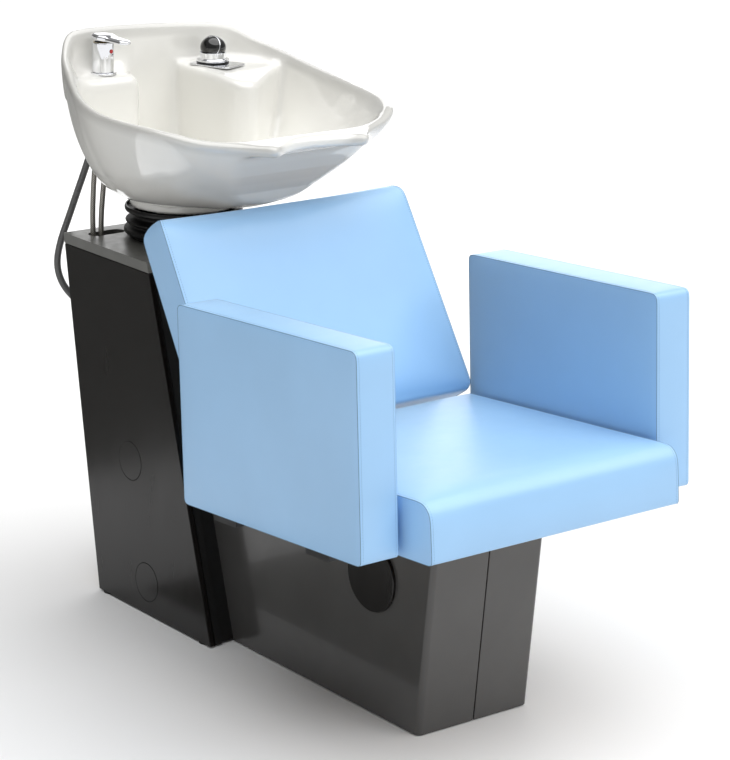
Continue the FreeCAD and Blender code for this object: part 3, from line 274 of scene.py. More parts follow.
# plywood with long grain
k = Mat("plywood")
k.set(Specular_IOR_Level=0.3)
g = k.noise(9.0, 6.0, 0.65, k.coords((26.0, 1.5, 26.0)))
k.color(k.ramp(g, [(0.3, srgb(146, 108, 66)), (0.5, srgb(190, 152, 104)), (0.72, srgb(208, 174, 126))]))
k.rough(k.remap(g, 0.55, 0.75))
k.normal(k.bump(g, 0.15, 0.0008))
M_WOOD = k.m

# steel braid: two crossing families of strands, along and around the hose
k = Mat("steel_braid")
k.set(Metallic=0.9)
waves = []
for sgn in (1, -1):
    w = k.node("ShaderNodeTexWave", wave_type="BANDS", bands_direction="X")
    w.inputs["Scale"].default_value = 1.0
    mp = k.coords((560.0, 1.0, 1.0), (0, 0, 0), uv=True)
    sep = k.node("ShaderNodeSeparateXYZ")
    k.link(k.co.outputs["UV"], sep.inputs["Vector"])
    m1 = k.node("ShaderNodeMath", operation="MULTIPLY")
    m1.inputs[1].default_value = 1500.0
    k.link(sep.outputs["X"], m1.inputs[0])
    m2 = k.node("ShaderNodeMath", operation="MULTIPLY")
    m2.inputs[1].default_value = sgn * 2 * math.pi * 8.0
    k.link(sep.outputs["Y"], m2.inputs[0])
    m3 = k.node("ShaderNodeMath", operation="ADD")
    k.link(m1.outputs[0], m3.inputs[0])
    k.link(m2.outputs[0], m3.inputs[1])
    m4 = k.node("ShaderNodeMath", operation="SINE")
    k.link(m3.outputs[0], m4.inputs[0])
    k.t.nodes.remove(w)
    waves.append(m4.outputs[0])
mx = k.node("ShaderNodeMath", operation="MAXIMUM")
k.link(waves[0], mx.inputs[0])
k.link(waves[1], mx.inputs[1])
# painted shade and highlight: the colour darkens in the gaps between strands and lightens on their crests
k.color(k.ramp(k.remap(mx.outputs[0], 0.0, 1.0, -0.4, 1.0), [(0.0, srgb(70, 66, 60)), (0.55, srgb(150, 146, 138)), (1.0, srgb(206, 203, 196))]))
k.rough(k.remap(mx.outputs[0], 0.5, 0.28, -0.4, 1.0))
k.normal(k.bump(mx.outputs[0], 0.5, 0.0005))
M_BRAID = k.m


# ---------------------------------------------------------------- mesh helpers
def add_mesh(name, verts, faces, mat, smooth=True, angle=None):
    me = bpy.data.meshes.new(name)
    me.from_pydata([tuple(v) for v in verts], [], [tuple(f) for f in faces])
    me.validate()
    if smooth:
        me.polygons.foreach_set("use_smooth", [True] * len(me.polygons))
    ob = bpy.data.objects.new(name, me)
    scene.collection.objects.link(ob)
    me.materials.append(mat)
    if angle is not None:
        me.set_sharp_from_angle(angle=math.radians(angle))
    return ob


def finish_piece(ob, body, nodes=()):
    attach(ob, body)
    if nodes:
        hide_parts(*nodes)
    return ob


def round_profile(pts, radii, seg=5):
    """2-D outline with its corners rounded; a radius of 0 keeps the corner."""
    out = []
    n = len(pts)
    for i, p in enumerate(pts):
        r = radii[i]
        if r <= 0 or i in (0, n - 1):
            out.append(tuple(p))
            continue
        a, b, c = Vector(pts[i - 1]), Vector(p), Vector(pts[i + 1])
        u, v = (a - b), (c - b)
        lu, lv = u.length, v.length
        u, v = u / lu, v / lv
        ang = u.angle(v)
        t = min(r / math.tan(ang / 2), 0.48 * lu, 0.48 * lv)
        rr = t * math.tan(ang / 2)
        bis = (u + v).normalized()
        cen = b + bis * (rr / math.sin(ang / 2))
        p0, p1 = b + u * t, b + v * t
        for j in range(seg + 1):
            q = p0.lerp(p1, j / seg) - cen
            q = q.normalized() * rr + cen
            out.append((q.x, q.y))
    return out


def lathe_data(profile, seg=64):
    """Revolve (r, z) points about Z. Points with r = 0 close the form."""
    verts, faces, rows = [], [], []
    for r, z in profile:
        if r < 1e-6:
            rows.append([len(verts)])
            verts.append((0.0, 0.0, z))
        else:
            row = []
            for i in range(seg):
                a = 2 * math.pi * i / seg
                row.append(len(verts))
                verts.append((r * math.cos(a), r * math.sin(a), z))
            rows.append(row)
    for a, b in zip(rows, rows[1:]):
        for i in range(seg):
            j = (i + 1) % seg
            if len(a) == 1 and len(b) == 1:
                continue
            if len(a) == 1:
                faces.append((a[0], b[j], b[i]))
            elif len(b) == 1:
                faces.append((a[i], a[j], b[0]))
            else:
                faces.append((a[i], a[j], b[j], b[i]))
    return verts, faces


def lathe(name, profile, mat, place, seg=64, angle=None):
    """place maps a local millimetre point to the shared frame."""
    v, f = lathe_data(profile, seg)
    ob = add_mesh(name, [place(*p) for p in v], f, mat, angle=angle)
    bm = bmesh.new()
    bm.from_mesh(ob.data)
    bmesh.ops.recalc_face_normals(bm, faces=bm.faces)
    bm.to_mesh(ob.data)
    bm.free()
    return ob


def soften(node, mat, width=0.0012, seg=2, body=None, name=None, tidy=0.4):
    """A copy of a construction piece with small rounded edges, which stands for it."""
    src = NODES[node]
    bm = bmesh.new()
    bm.from_mesh(src.data)
    bmesh.ops.remove_doubles(bm, verts=bm.verts, dist=2e-6)
    bmesh.ops.dissolve_limit(bm, angle_limit=math.radians(tidy), verts=bm.verts, edges=bm.edges)
    me = bpy.data.meshes.new(name or node + "_skin")
    bm.to_mesh(me)
    bm.free()
    tmp = bpy.data.objects.new("tmp", me)
    scene.collection.objects.link(tmp)
    md = tmp.modifiers.new("edge", "BEVEL")
    md.width = width
    md.segments = seg
    md.limit_method = "ANGLE"
    md.angle_limit = math.radians(35)
    md.use_clamp_overlap = True
    md.harden_normals = False
    dg = bpy.context.evaluated_depsgraph_get()
    me2 = bpy.data.meshes.new_from_object(tmp.evaluated_get(dg))
    bpy.data.objects.remove(tmp)
    bpy.data.meshes.remove(me)
    me2.name = name or node + "_skin"
    me2.materials.clear()
    me2.materials.append(mat)
    me2.polygons.foreach_set("use_smooth", [True] * len(me2.polygons))
    me2.set_sharp_from_angle(angle=math.radians(40))
    ob = bpy.data.objects.new(name or node + "_skin", me2)
    scene.collection.objects.link(ob)
    wn = ob.modifiers.new("wn", "WEIGHTED_NORMAL")
    wn.keep_sharp = True
    wn.weight = 80
    return finish_piece(ob, body or src["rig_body"], [node])


# ---------------------------------------------------------------- hoses
HOSE_HOT = [(-116, 900, 868), (-115.5, 903, 824), (-116.5, 908, 776), (-118.5, 914, 727), (-120.5, 918.5, 678),
            (-120.5, 919, 630), (-117, 913, 582), (-110, 902, 535), (-101, 889.5, 490), (-92, 877.5, 448)]
HOSE_COLD = [(-129.5, 907, 868), (-131, 912, 824), (-132.5, 918, 776), (-133, 923.5, 727), (-132.5, 927.5, 678),
             (-131, 928, 630), (-128.5, 922.5, 582), (-125.5, 911.5, 535), (-122.5, 898, 490), (-120, 885, 448)]
HOSE_SHOWER = [(-123, 917, 868), (-122.5, 928, 829), (-122, 948, 791), (-122.5, 970, 750), (-125, 992, 707),
               (-131, 1010, 661), (-140, 1025, 616), (-146, 1031, 573), (-139, 1025, 536), (-118, 1013, 505),
               (-85, 1002, 482), (-44, 996, 469), (2, 994, 467), (46, 994, 478), (80, 995, 503),
               (102, 996, 541), (112.5, 995.8, 588), (114, 993.3, 620), (113.2, 989, 654), (111.3, 981.5, 686.5),
               (109.3, 973.2, 708.2), (107.2, 960, 727.7), (105, 943.3, 744.4), (103.2, 924.2, 759.1),
               (101.6, 907.2, 776.3), (100.5, 895.3, 796.4), (100, 889, 818.5), (100, 889, 841)]


def hose(name, pts, dia, mat, seg=20, ribs=0.0, rib_pitch=0.0):
    cu = bpy.data.curves.new(name + "_line", "CURVE")
    cu.dimensions = "3D"
    sp = cu.splines.new("NURBS")
    sp.points.add(len(pts) - 1)
    for p, q in zip(sp.points, pts):
        p.co = (*fit(*q), 1.0)
    sp.order_u = 3
    sp.use_endpoint_u = True
    sp.resolution_u = 40 if ribs else 14
    co = bpy.data.objects.new(name + "_line", cu)
    scene.collection.objects.link(co)
    dg = bpy.context.evaluated_depsgraph_get()
    me = bpy.data.meshes.new_from_object(co.evaluated_get(dg))
    path = [v.co.copy() for v in me.vertices]
    bpy.data.objects.remove(co)
    bpy.data.meshes.remove(me)
    # sweep a circle with a frame carried along the line
    t0 = (path[1] - path[0]).normalized()
    n = t0.orthogonal().normalized()
    verts, uvs_u, faces = [], [], []
    length = 0.0
    for i, p in enumerate(path):
        if i == 0:
            t = t0
        else:
            length += (path[i] - path[i - 1]).length
            t = (path[min(i + 1, len(path) - 1)] - path[i - 1]).normalized()
        n = (n - t * n.dot(t)).normalized()
        b = t.cross(n)
        r = dia / 2000.0
        if ribs:
            r -= ribs / 1000.0 * (0.5 - 0.5 * math.cos(2 * math.pi * length / rib_pitch))
        for j in range(seg):
            a = 2 * math.pi * j / seg
            verts.append(p + (n * math.cos(a) + b * math.sin(a)) * r)
        uvs_u.append(length)
    for i in range(len(path) - 1):
        for j in range(seg):
            k2 = (j + 1) % seg
            faces.append((i * seg + j, i * seg + k2, (i + 1) * seg + k2, (i + 1) * seg + j))
    n_side = len(faces)
    faces.append(tuple(reversed(range(seg))))
    faces.append(tuple(range((len(path) - 1) * seg, len(path) * seg)))
    ob = add_mesh(name, verts, faces, mat, angle=50)
    uv = ob.data.uv_layers.new(name="UVMap")
    for pi, poly in enumerate(ob.data.polygons):
        for c, li in enumerate(poly.loop_indices):
            vi = ob.data.loops[li].vertex_index
            u = uvs_u[vi // seg]
            v = (vi % seg) / seg
            if pi < n_side and c in (1, 2) and vi % seg == 0:
                v = 1.0
            uv.data[li].uv = (u, v)
    return ob, [tuple(p) for p in path], length


hot, hot_path, hot_len = hose("hose_hot", HOSE_HOT, 9.6, M_BRAID)
cold, cold_path, cold_len = hose("hose_cold", HOSE_COLD, 9.6, M_BRAID)
shw_hose, shw_path, shw_len = hose("hose_shower", HOSE_SHOWER, 12.5, M_HOSE)
for ob, node, path, ext, ln, dia in ((hot, "supply_hose_hot", hot_path, HOSE_HOT[0], 0.428, 0.0096),
                                     (cold, "supply_hose_cold", cold_path, HOSE_COLD[0], 0.427, 0.0096)):
    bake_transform(ob)
    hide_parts(node)
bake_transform(shw_hose)
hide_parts("shower_hose")

# ---------------------------------------------------------------- basin
RIM_OUT = [(0, 408), (50, 409), (80, 412), (98, 421), (112, 440), (131, 462),
           (160, 480.5), (199, 497), (236, 528), (258, 579), (267, 630),
           (272, 687), (270.5, 729), (261, 777), (246, 818), (233, 850),
           (217, 890), (201, 914), (186, 931), (165, 942.5), (130, 948),
           (70, 951), (0, 952)]
RIM_IN = [(0, 492), (50, 492), (90, 491), (125, 493), (158, 501), (190, 516),
          (216, 542), (238, 586), (250, 632), (257, 687), (255.5, 727),
          (247, 772), (233, 812), (219, 845), (203, 884), (188, 905),
          (174, 919), (157, 928), (125, 932.5), (68, 935.5), (0, 936)]
RIM_Y = [395, 437, 462, 480, 498.5, 531, 582, 630, 687, 729, 777, 818, 850,
         892, 916, 930.5, 942, 948, 956]
RIM_Z = [884, 886, 885, 886, 892, 904, 911, 914, 918, 924, 935, 948, 960,
         978, 994, 1006, 1015, 1019, 1023]
BELLY_AT = [0.0, 50.0, 95.0, 140.0, 180.0]
BELLY_OUT = [1.65, 1.30, 1.45, 2.10, 2.10]
BELLY_IN = [1.65, 1.25, 1.50, 2.10, 2.10]
FOOT_Y, FOOT_R, BODY_Z = 834.0, 99.0, 719.0
FLOOR_R, FLOOR_Z = 72.0, 738.0
DECK_Z, DECK_UNDER = 937.0, 902.0
MIX_X, MIX_Y, SHW_X, SHW_Y = -123.0, 903.0, 100.0, 889.0
DECK_EDGE = [(52, 960), (50, 900), (50, 850), (52, 800), (55, 772), (64, 753), (80, 745), (98, 750),
             (130, 774), (170, 806), (215, 842), (290, 902)]
DECK_HOLLOW = [(68, 960), (65, 900), (65, 850), (67, 800), (71, 777), (82, 764), (98, 769), (122, 788),
               (160, 818), (205, 854), (290, 922)]
DECK_FALL = [(720, 927.0), (760, 930.0), (800, 932.7), (845, 935.5), (880, 937.0), (960, 937.0)]

ry = np.arange(360.0, 1000.0, 2.0)
rz = np.interp(ry, RIM_Y, RIM_Z)
kern = np.exp(-0.5 * (np.arange(-16, 17) * 2.0 / 9.0) ** 2)
rz = np.convolve(np.pad(rz, 16, mode="edge"), kern / kern.sum(), mode="valid")


def rim_z(y):
    return np.interp(y, ry, rz)


def closed_curve(half, n=900):
    pts = np.array(list(half) + [(-x, y) for x, y in reversed(half[1:-1])], float)
    m = len(pts)
    out = []
    for i in range(m):
        p0, p1, p2, p3 = pts[i - 1], pts[i], pts[(i + 1) % m], pts[(i + 2) % m]
        t = np.linspace(0, 1, 20, endpoint=False)[:, None]
        out.append(0.5 * (2 * p1 + (p2 - p0) * t + (2 * p0 - 5 * p1 + 4 * p2 - p3) * t ** 2
                          + (3 * p1 - p0 - 3 * p2 + p3) * t ** 3))
    c = np.vstack(out)
    d = np.r_[0, np.cumsum(np.hypot(*(np.roll(c, -1, 0) - c).T))]
    s = np.linspace(0, d[-1], n, endpoint=False)
    cc = np.vstack([c, c[:1]])
    return np.c_[np.interp(s, d, cc[:, 0]), np.interp(s, d, cc[:, 1])]


class Wall:
    """Radius of a bowl wall about a leaning axis, tabulated over angle and height."""

    def __init__(self, half, foot_r, z0, belly):
        c = closed_curve(half)
        x, y = c[:, 0], c[:, 1]
        ph = np.arctan2(x, 740.0 - y)
        e = np.interp(np.abs(np.degrees(ph)), BELLY_AT, belly)
        top = rim_z(y) + 2.0
        fx, fy = foot_r * np.sin(ph), FOOT_Y - foot_r * np.cos(ph)
        self.z = np.arange(680.0, 1070.0, 2.0)
        self.th = np.linspace(-math.pi, math.pi, 721)
        self.yc = self.axis(self.z)
        tab = []
        for z, yc in zip(self.z, self.yc):
            v = np.clip((z - z0) / (top - z0), 0.0, 1.0)
            a = np.arccos(np.clip((1 - v) ** (e / 2.0), 0, 1))
            h = np.sin(a) ** (2.0 / e)
            px, py = fx + (x - fx) * h, fy + (y - fy) * h
            th = np.arctan2(px, yc - py)
            r = np.hypot(px, py - yc)
            o = np.argsort(th)
            tab.append(np.interp(self.th, th[o], r[o], period=2 * math.pi))
        tab = np.array(tab)
        # a little smoothing along both directions takes out the joints of the outline
        kk = np.exp(-0.5 * (np.arange(-8, 9) / 3.0) ** 2)
        kk /= kk.sum()
        tab = np.array([np.convolve(np.r_[row[-9:-1], row, row[1:9]], kk, mode="valid") for row in tab])
        k2 = np.exp(-0.5 * (np.arange(-4, 5) / 1.6) ** 2)
        k2 /= k2.sum()
        tab = np.array([np.convolve(np.pad(col, 4, mode="edge"), k2, mode="valid") for col in tab.T]).T
        self.tab = tab
        self.dz = np.gradient(tab, 2.0, axis=0)
        self.dth = np.gradient(tab, self.th[1] - self.th[0], axis=1)

    @staticmethod
    def axis(z):
        t = np.clip((z - 738.0) / 150.0, 0, 1)
        t = t * t * (3 - 2 * t)
        return 834.0 - 120.0 * t

    def dist(self, x, y, z):
        yc = self.axis(z)
        slope = (self.axis(z + 1.0) - self.axis(z - 1.0)) / 2.0
        r = np.hypot(x, y - yc)
        th = np.arctan2(x, yc - y)
        i = np.clip((z - self.z[0]) / 2.0, 0, len(self.z) - 1.001)
        j = np.clip((th + math.pi) / (self.th[1] - self.th[0]), 0, len(self.th) - 1.001)
        i0, j0 = i.astype(int), j.astype(int)
        a, b = i - i0, j - j0

        def look(t):
            return ((t[i0, j0] * (1 - b) + t[i0, j0 + 1] * b) * (1 - a)
                    + (t[i0 + 1, j0] * (1 - b) + t[i0 + 1, j0 + 1] * b) * a)
        rr = look(self.tab)
        gz = np.cos(th) * slope - look(self.dz)
        gt = look(self.dth) / np.maximum(rr, 20.0)
        return (r - rr) / np.sqrt(1.0 + gz * gz + gt * gt)


def smax(a, b, k):
    h = np.maximum(k - np.abs(a - b), 0.0) / k
    return np.maximum(a, b) + h * h * h * k / 6.0


def smin(a, b, k):
    return -smax(-a, -b, k)


WALL_OUT = Wall(RIM_OUT, FOOT_R, BODY_Z, BELLY_OUT)
WALL_IN = Wall(RIM_IN, FLOOR_R, FLOOR_Z, BELLY_IN)


def deck_table(pts, step=2.0):
    """Distance to the deck's edge in plan, negative over the deck."""
    c = np.array(pts, float)
    m = len(c)
    line = []
    for i in range(m - 1):
        p0, p1, p2, p3 = c[max(i - 1, 0)], c[i], c[i + 1], c[min(i + 2, m - 1)]
        t = np.linspace(0, 1, 10, endpoint=False)[:, None]
        line.append(0.5 * (2 * p1 + (p2 - p0) * t + (2 * p0 - 5 * p1 + 4 * p2 - p3) * t ** 2
                           + (3 * p1 - p0 - 3 * p2 + p3) * t ** 3))
    line = np.vstack(line + [c[-1:], [[290.0, 1060.0], [c[0, 0], 1060.0]]])
    gx, gy = np.meshgrid(np.arange(0.0, 281.0, step), np.arange(700.0, 981.0, step), indexing="ij")
    d = np.full(gx.shape, 1e9)
    inside = np.zeros(gx.shape, bool)
    for a, b in zip(line, np.roll(line, -1, 0)):
        e = b - a
        if np.hypot(*e) < 1e-9:
            continue
        t = np.clip(((gx - a[0]) * e[0] + (gy - a[1]) * e[1]) / (e @ e), 0, 1)
        d = np.minimum(d, np.hypot(gx - a[0] - t * e[0], gy - a[1] - t * e[1]))
        cross = (a[1] > gy) != (b[1] > gy)
        xi = a[0] + (gy - a[1]) / (e[1] if abs(e[1]) > 1e-9 else 1e-9) * e[0]
        inside ^= cross & (gx < xi)
    return np.where(inside, -d, d)


DECK_TAB = deck_table(DECK_EDGE)
HOLLOW_TAB = deck_table(DECK_HOLLOW)


def deck_plan(t, x, y):
    i = np.clip(x / 2.0, 0, t.shape[0] - 1.001)
    j = np.clip((y - 700.0) / 2.0, 0, t.shape[1] - 1.001)
    i0, j0 = i.astype(int), j.astype(int)
    a, b = i - i0, j - j0
    v = ((t[i0, j0] * (1 - b) + t[i0, j0 + 1] * b) * (1 - a) + (t[i0 + 1, j0] * (1 - b) + t[i0 + 1, j0 + 1] * b) * a)
    return v + np.maximum(700.0 - y, 0.0) + np.maximum(-x, 0.0)


def basin_field(x, y, z):
    ax = np.abs(x)
    slope = (rim_z(y + 2.0) - rim_z(y - 2.0)) / 4.0
    # the rear edge stands a little higher on the left
    k_ = np.clip((y - 830.0) / 100.0, 0, 1)
    skew = (np.clip(x, -170, 170) * 0.045 + 3.0) * k_ * k_ * (3 - 2 * k_)
    top = (z - rim_z(y) + skew) / np.sqrt(1 + slope * slope)
    body = smax(WALL_OUT.dist(x, y, z), BODY_Z - z, 10.0)
    body = smax(body, top, 24.0)
    # decks at the rear corners of the bowl
    fall = np.interp(y, [v[0] for v in DECK_FALL], [v[1] for v in DECK_FALL])
    deck = smax(deck_plan(DECK_TAB, x, y), z - fall, 26.0)
    a, b = 62.0 + x + 30.0, 862.0 - y + 30.0
    q = np.minimum(np.maximum(a, b), 0) + np.hypot(np.maximum(a, 0), np.maximum(b, 0)) - 30.0
    deck_l = smax(q, (z - 937.0), 40.0)
    outer = WALL_OUT.dist(x, y, z)
    cav = smax(WALL_IN.dist(x, y, z), FLOOR_Z - z, 14.0)
    cav = smax(cav, outer + 11.0, 8.0)
    bowl = cav
    cav = smax(cav, -deck, 30.0)
    cav = smax(cav, -deck_l, 60.0)
    f = smax(body, -cav, 22.0)
    # the right block is hollow, open to the rear
    f = smax(f, -smax(smax(deck_plan(HOLLOW_TAB, x, y), z - DECK_UNDER, 6.0), np.maximum(bowl + 2.0, 752.0 - z), 6.0), 4.0)
    # open underside behind the bowl
    pocket = smax(smax(78.0 - ax, 873.0 - y, 16.0), z - DECK_UNDER, 10.0)
    f = smax(f, -pocket, 8.0)
    # neck rest: notch in the front rim and the hollow under its lip
    notch = np.maximum(np.hypot(x, y - 343.0) - 119.0, 862.0 - z)
    f = smax(f, -notch, 24.0)
    t = 864.0 - z
    deep = np.interp(t, [0, 10, 22, 44, 65, 85, 105, 125], [0, 0, 0, 2, 9, 14, 9, 0])
    hollow = smax((y - 478.0 - 0.774 * t - deep) * 0.79, ax - 149.0 + 0.06 * t, 30.0)
    hollow = smax(hollow, smax(z - 865.0, 735.0 - z, 4.0), 22.0)
    f = smax(f, -hollow, 12.0)
    # foot ring, waste recess and holes
    ring = np.hypot(x, y - FOOT_Y)
    foot = np.maximum(ring - 96.0, np.maximum(704.0 - z, z - 724.0))
    f = smin(f, foot, 5.0)
    f = smax(f, -np.maximum(ring - 39.0, FLOOR_Z - 5.0 - z), 3.0)
    f = np.maximum(f, -np.maximum(ring - 24.0, z - 745.0))
    f = np.maximum(f, -np.maximum(np.hypot(x - MIX_X, y - MIX_Y) - 17.0, 880.0 - z))
    f = np.maximum(f, -np.maximum(np.hypot(x - SHW_X, y - SHW_Y) - 20.0, 880.0 - z))
    return f


def surface_nets(field, lo, hi, h, relax=2):
    """Quad mesh of field = 0, with every point then moved onto the surface itself."""
    ax = [np.arange(lo[i], hi[i] + h, h) for i in range(3)]
    gx, gy, gz = np.meshgrid(*ax, indexing="ij")
    F = field(gx.ravel(), gy.ravel(), gz.ravel()).reshape(gx.shape)
    s = F < 0
    nx, ny, nz = F.shape
    cnt = np.zeros((nx - 1, ny - 1, nz - 1), np.int8)
    for i in (0, 1):
        for j in (0, 1):
            for l in (0, 1):
                cnt += s[i:nx - 1 + i, j:ny - 1 + j, l:nz - 1 + l]
    act = np.argwhere((cnt > 0) & (cnt < 8))
    cid = -np.ones(cnt.shape, np.int64)
    cid[tuple(act.T)] = np.arange(len(act))
    cor = [(i, j, l) for i in (0, 1) for j in (0, 1) for l in (0, 1)]
    val = np.stack([F[act[:, 0] + c[0], act[:, 1] + c[1], act[:, 2] + c[2]] for c in cor], 1)
    tot = np.zeros((len(act), 3))
    num = np.zeros(len(act))
    for p in range(8):
        for q in range(p + 1, 8):
            d = np.abs(np.subtract(cor[p], cor[q])).sum()
            if d != 1:
                continue
            fa, fb = val[:, p], val[:, q]
            m = (fa < 0) != (fb < 0)
            t = np.where(m, fa / np.where(m, fa - fb, 1.0), 0.0)
            pt = np.array(cor[p], float)[None] + t[:, None] * np.subtract(cor[q], cor[p])[None]
            tot += np.where(m[:, None], pt, 0.0)
            num += m
    P = (act + tot / num[:, None]) * h + np.array([ax[0][0], ax[1][0], ax[2][0]])
    faces = []
    for d in range(3):
        e, g = (d + 1) % 3, (d + 2) % 3
        sl0 = [slice(None)] * 3
        sl1 = [slice(None)] * 3
        sl0[d], sl1[d] = slice(0, -1), slice(1, None)
        a, b = s[tuple(sl0)], s[tuple(sl1)]
        idx = np.argwhere(a != b)
        ok = (idx[:, e] > 0) & (idx[:, g] > 0) & (idx[:, e] < F.shape[e] - 1) & (idx[:, g] < F.shape[g] - 1)
        idx = idx[ok]
        inside = a[tuple(idx.T)]
        quad = []
        for de, dg_ in ((-1, -1), (0, -1), (0, 0), (-1, 0)):
            c = idx.copy()
            c[:, e] += de
            c[:, g] += dg_
            quad.append(cid[tuple(c.T)])
        quad = np.stack(quad, 1)
        quad[~inside] = quad[~inside][:, ::-1]
        faces.append(quad)
    faces = np.vstack(faces)

    def project(P, n=3):
        for _ in range(n):
            f0 = field(P[:, 0], P[:, 1], P[:, 2])
            g = np.stack([(field(*(P + 0.4 * np.eye(3)[i]).T) - field(*(P - 0.4 * np.eye(3)[i]).T)) / 0.8
                          for i in range(3)], 1)
            step = f0 / np.maximum((g * g).sum(1), 0.15)
            P = P - np.clip(step, -h, h)[:, None] * g
        return P
    P = project(P)
    for _ in range(relax):
        acc = np.zeros_like(P)
        num = np.zeros(len(P))
        for a, b in ((0, 1), (1, 2), (2, 3), (3, 0)):
            for u, v in ((a, b), (b, a)):
                np.add.at(acc, faces[:, u], P[faces[:, v]])
                np.add.at(num, faces[:, u], 1)
        P = project(0.5 * P + 0.5 * acc / num[:, None], 2)
    return P, faces


P, Fq = surface_nets(basin_field, (-280.0, 400.0, 700.0), (280.0, 960.0, 1040.0), 3.6)
basin = add_mesh("basin_glazed", fit_np(P), Fq, M_CERAMIC)
# painted shade on the rim: weight 1 on and near the rolled rim, fading down the outer wall; it darkens the ceramic
# colour there
rim_shade_weight = np.clip(1.25 - np.abs(P[:, 2] - rim_z(P[:, 1])) / 22.0, 0.0, 1.0)
rim_shade_weight *= np.clip((WALL_OUT.dist(P[:, 0], P[:, 1], P[:, 2]) + 34.0) / 12.0, 0.0, 1.0)
basin.data.attributes.new("rim_painted_shade", "FLOAT", "POINT").data.foreach_set("value", rim_shade_weight)
finish_piece(basin, "basin_body", ["basin"])

# ---------------------------------------------------------------- bellows foot
def smooth_line(pts, n=6):
    c = np.array(pts, float)
    m = len(c)
    out = []
    for i in range(m - 1):
        p0, p1, p2, p3 = c[max(i - 1, 0)], c[i], c[i + 1], c[min(i + 2, m - 1)]
        for t in np.linspace(0, 1, n, endpoint=False):
            out.append(0.5 * (2 * p1 + (p2 - p0) * t + (2 * p0 - 5 * p1 + 4 * p2 - p3) * t ** 2
                              + (3 * p1 - p0 - 3 * p2 + p3) * t ** 3))
    return [tuple(v) for v in out] + [tuple(c[-1])]


BELLOWS = [(96, 646.6), (98, 650), (104, 653), (107, 658), (105.5, 663), (98, 667), (97, 670.5), (103, 674),
           (103, 678), (92, 683), (90.5, 687), (93, 690.5), (103.5, 694), (105.5, 699), (104, 703.5)]
side = smooth_line(BELLOWS)
inner = [(r - 2.4, z) for r, z in reversed(side)]
bellows = lathe("bellows_rubber", side + inner + side[:1], M_RUBBER, lambda x, y, z: fit(x, FOOT_Y + y, z), seg=128, angle=50)
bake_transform(bellows)
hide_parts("bellows")

# ---------------------------------------------------------------- mixer and hand shower
C15, S15 = math.cos(math.radians(15)), math.sin(math.radians(15))


def at_mixer(x, y, z):
    return fit(MIX_X + x * C15 - y * S15, MIX_Y + x * S15 + y * C15, DECK_Z + z)


def at_shower(x, y, z):
    return fit(SHW_X + x, SHW_Y + y, DECK_Z + z)


ST = 57.0
ring = round_profile([(16.7, 0.0), (23.5, 0.0), (23.5, 4.0), (16.7, 4.0), (16.7, 0.0)], [0, 0.2, 1.3, 0.2, 0], 4)
finish_piece(lathe("mixer_ring", ring, M_CHROME, at_mixer, 96, 50), "basin_body", ["mixer_base_ring"])
prof = round_profile([(0.0, -52.0), (16.25, -52.0), (16.25, 4.1), (18.7, 4.1), (19.7, ST), (15.0, ST), (15.0, 28.0), (0.0, 28.0)],
                     [0, 1.0, 0, 1.0, 1.6, 0.4, 0, 0], 4)
finish_piece(lathe("mixer_barrel", prof, M_CHROME, at_mixer, 96, 40), "basin_body", ["mixer_body"])

# lever: a round cap that runs out into a flat paddle, falling a little to its tip
sec, rows = 40, []
yy = np.r_[20.2 * np.cos(np.linspace(0.03, math.pi / 2, 16)), np.linspace(-2.0, -47.0, 24),
           -48.0 - 12.4 * np.sin(np.linspace(0.06, 1.53, 14))]
verts, faces = [], []
for y in yy:
    hub = math.sqrt(max(20.2 ** 2 - y * y, 0.0))
    pad = 0.0 if y > 0 else (16.0 - 3.5 * max(-8.0 - y, 0.0) / 40.0 if y > -48 else math.sqrt(max(12.5 ** 2 - (y + 48.0) ** 2, 0.01)))
    w = max((hub ** 6 + pad ** 6) ** (1 / 6.0), 0.3)
    fall = 0.105 * max(-8.0 - y, 0.0)
    k_ = min(max((-12.0 - y) / 14.0, 0.0), 1.0)
    k_ = k_ * k_ * (3 - 2 * k_)
    hi = ST + 13.6 - 1.7 * k_ - fall - 0.9 * max(y, 0.0) ** 2 / 400.0
    lo = ST + 3.2 + 1.6 * k_ - fall
    if y < -48:
        hi -= 1.5 * ((-48.0 - y) / 12.4) ** 2
        lo += 1.5 * ((-48.0 - y) / 12.4) ** 2
    mid, half = (hi + lo) / 2, (hi - lo) / 2
    row = []
    for j in range(sec):
        a = 2 * math.pi * (j + 0.5) / sec
        cx, cz = math.cos(a), math.sin(a)
        px = w * math.copysign(abs(cx) ** 0.42, cx)
        pz = math.copysign(abs(cz) ** 0.42, cz)
        crown = 1.1 * (1 - (px / w) ** 2) if pz > 0 else 0.0
        row.append(len(verts))
        verts.append((px, y, mid + half * pz + crown))
    rows.append(row)
for ra, rb in zip(rows, rows[1:]):
    for j in range(sec):
        h = (j + 1) % sec
        faces.append((ra[j], ra[h], rb[h], rb[j]))
faces.append(tuple(reversed(rows[0])))
faces.append(tuple(rows[-1]))
lever = add_mesh("mixer_paddle", [at_mixer(*v) for v in verts], faces, M_CHROME, angle=60)
bm = bmesh.new()
bm.from_mesh(lever.data)
bmesh.ops.recalc_face_normals(bm, faces=bm.faces)
bm.to_mesh(lever.data)
bm.free()
finish_piece(lever, "mixer_lever_body", ["mixer_lever"])

hold = round_profile([(14.3, -88.0), (18.5, -88.0), (18.5, 4.95), (29.5, 4.95), (29.5, 8.9), (23.2, 8.9), (24.2, 21.0), (22.4, 21.0),
                      (18.9, 15.5), (14.3, 11.6), (14.3, -88.0)], [0, 0.8, 0, 1.2, 1.4, 1.8, 1.2, 0.4, 0, 0, 0], 4)
finish_piece(lathe("shower_collar", hold, M_CHROME, at_shower, 96, 40), "basin_body", ["shower_holder"])

FACE = Vector((-0.93, -0.20, 0.30)).normalized()
e1 = FACE.orthogonal().normalized()
e2 = FACE.cross(e1)


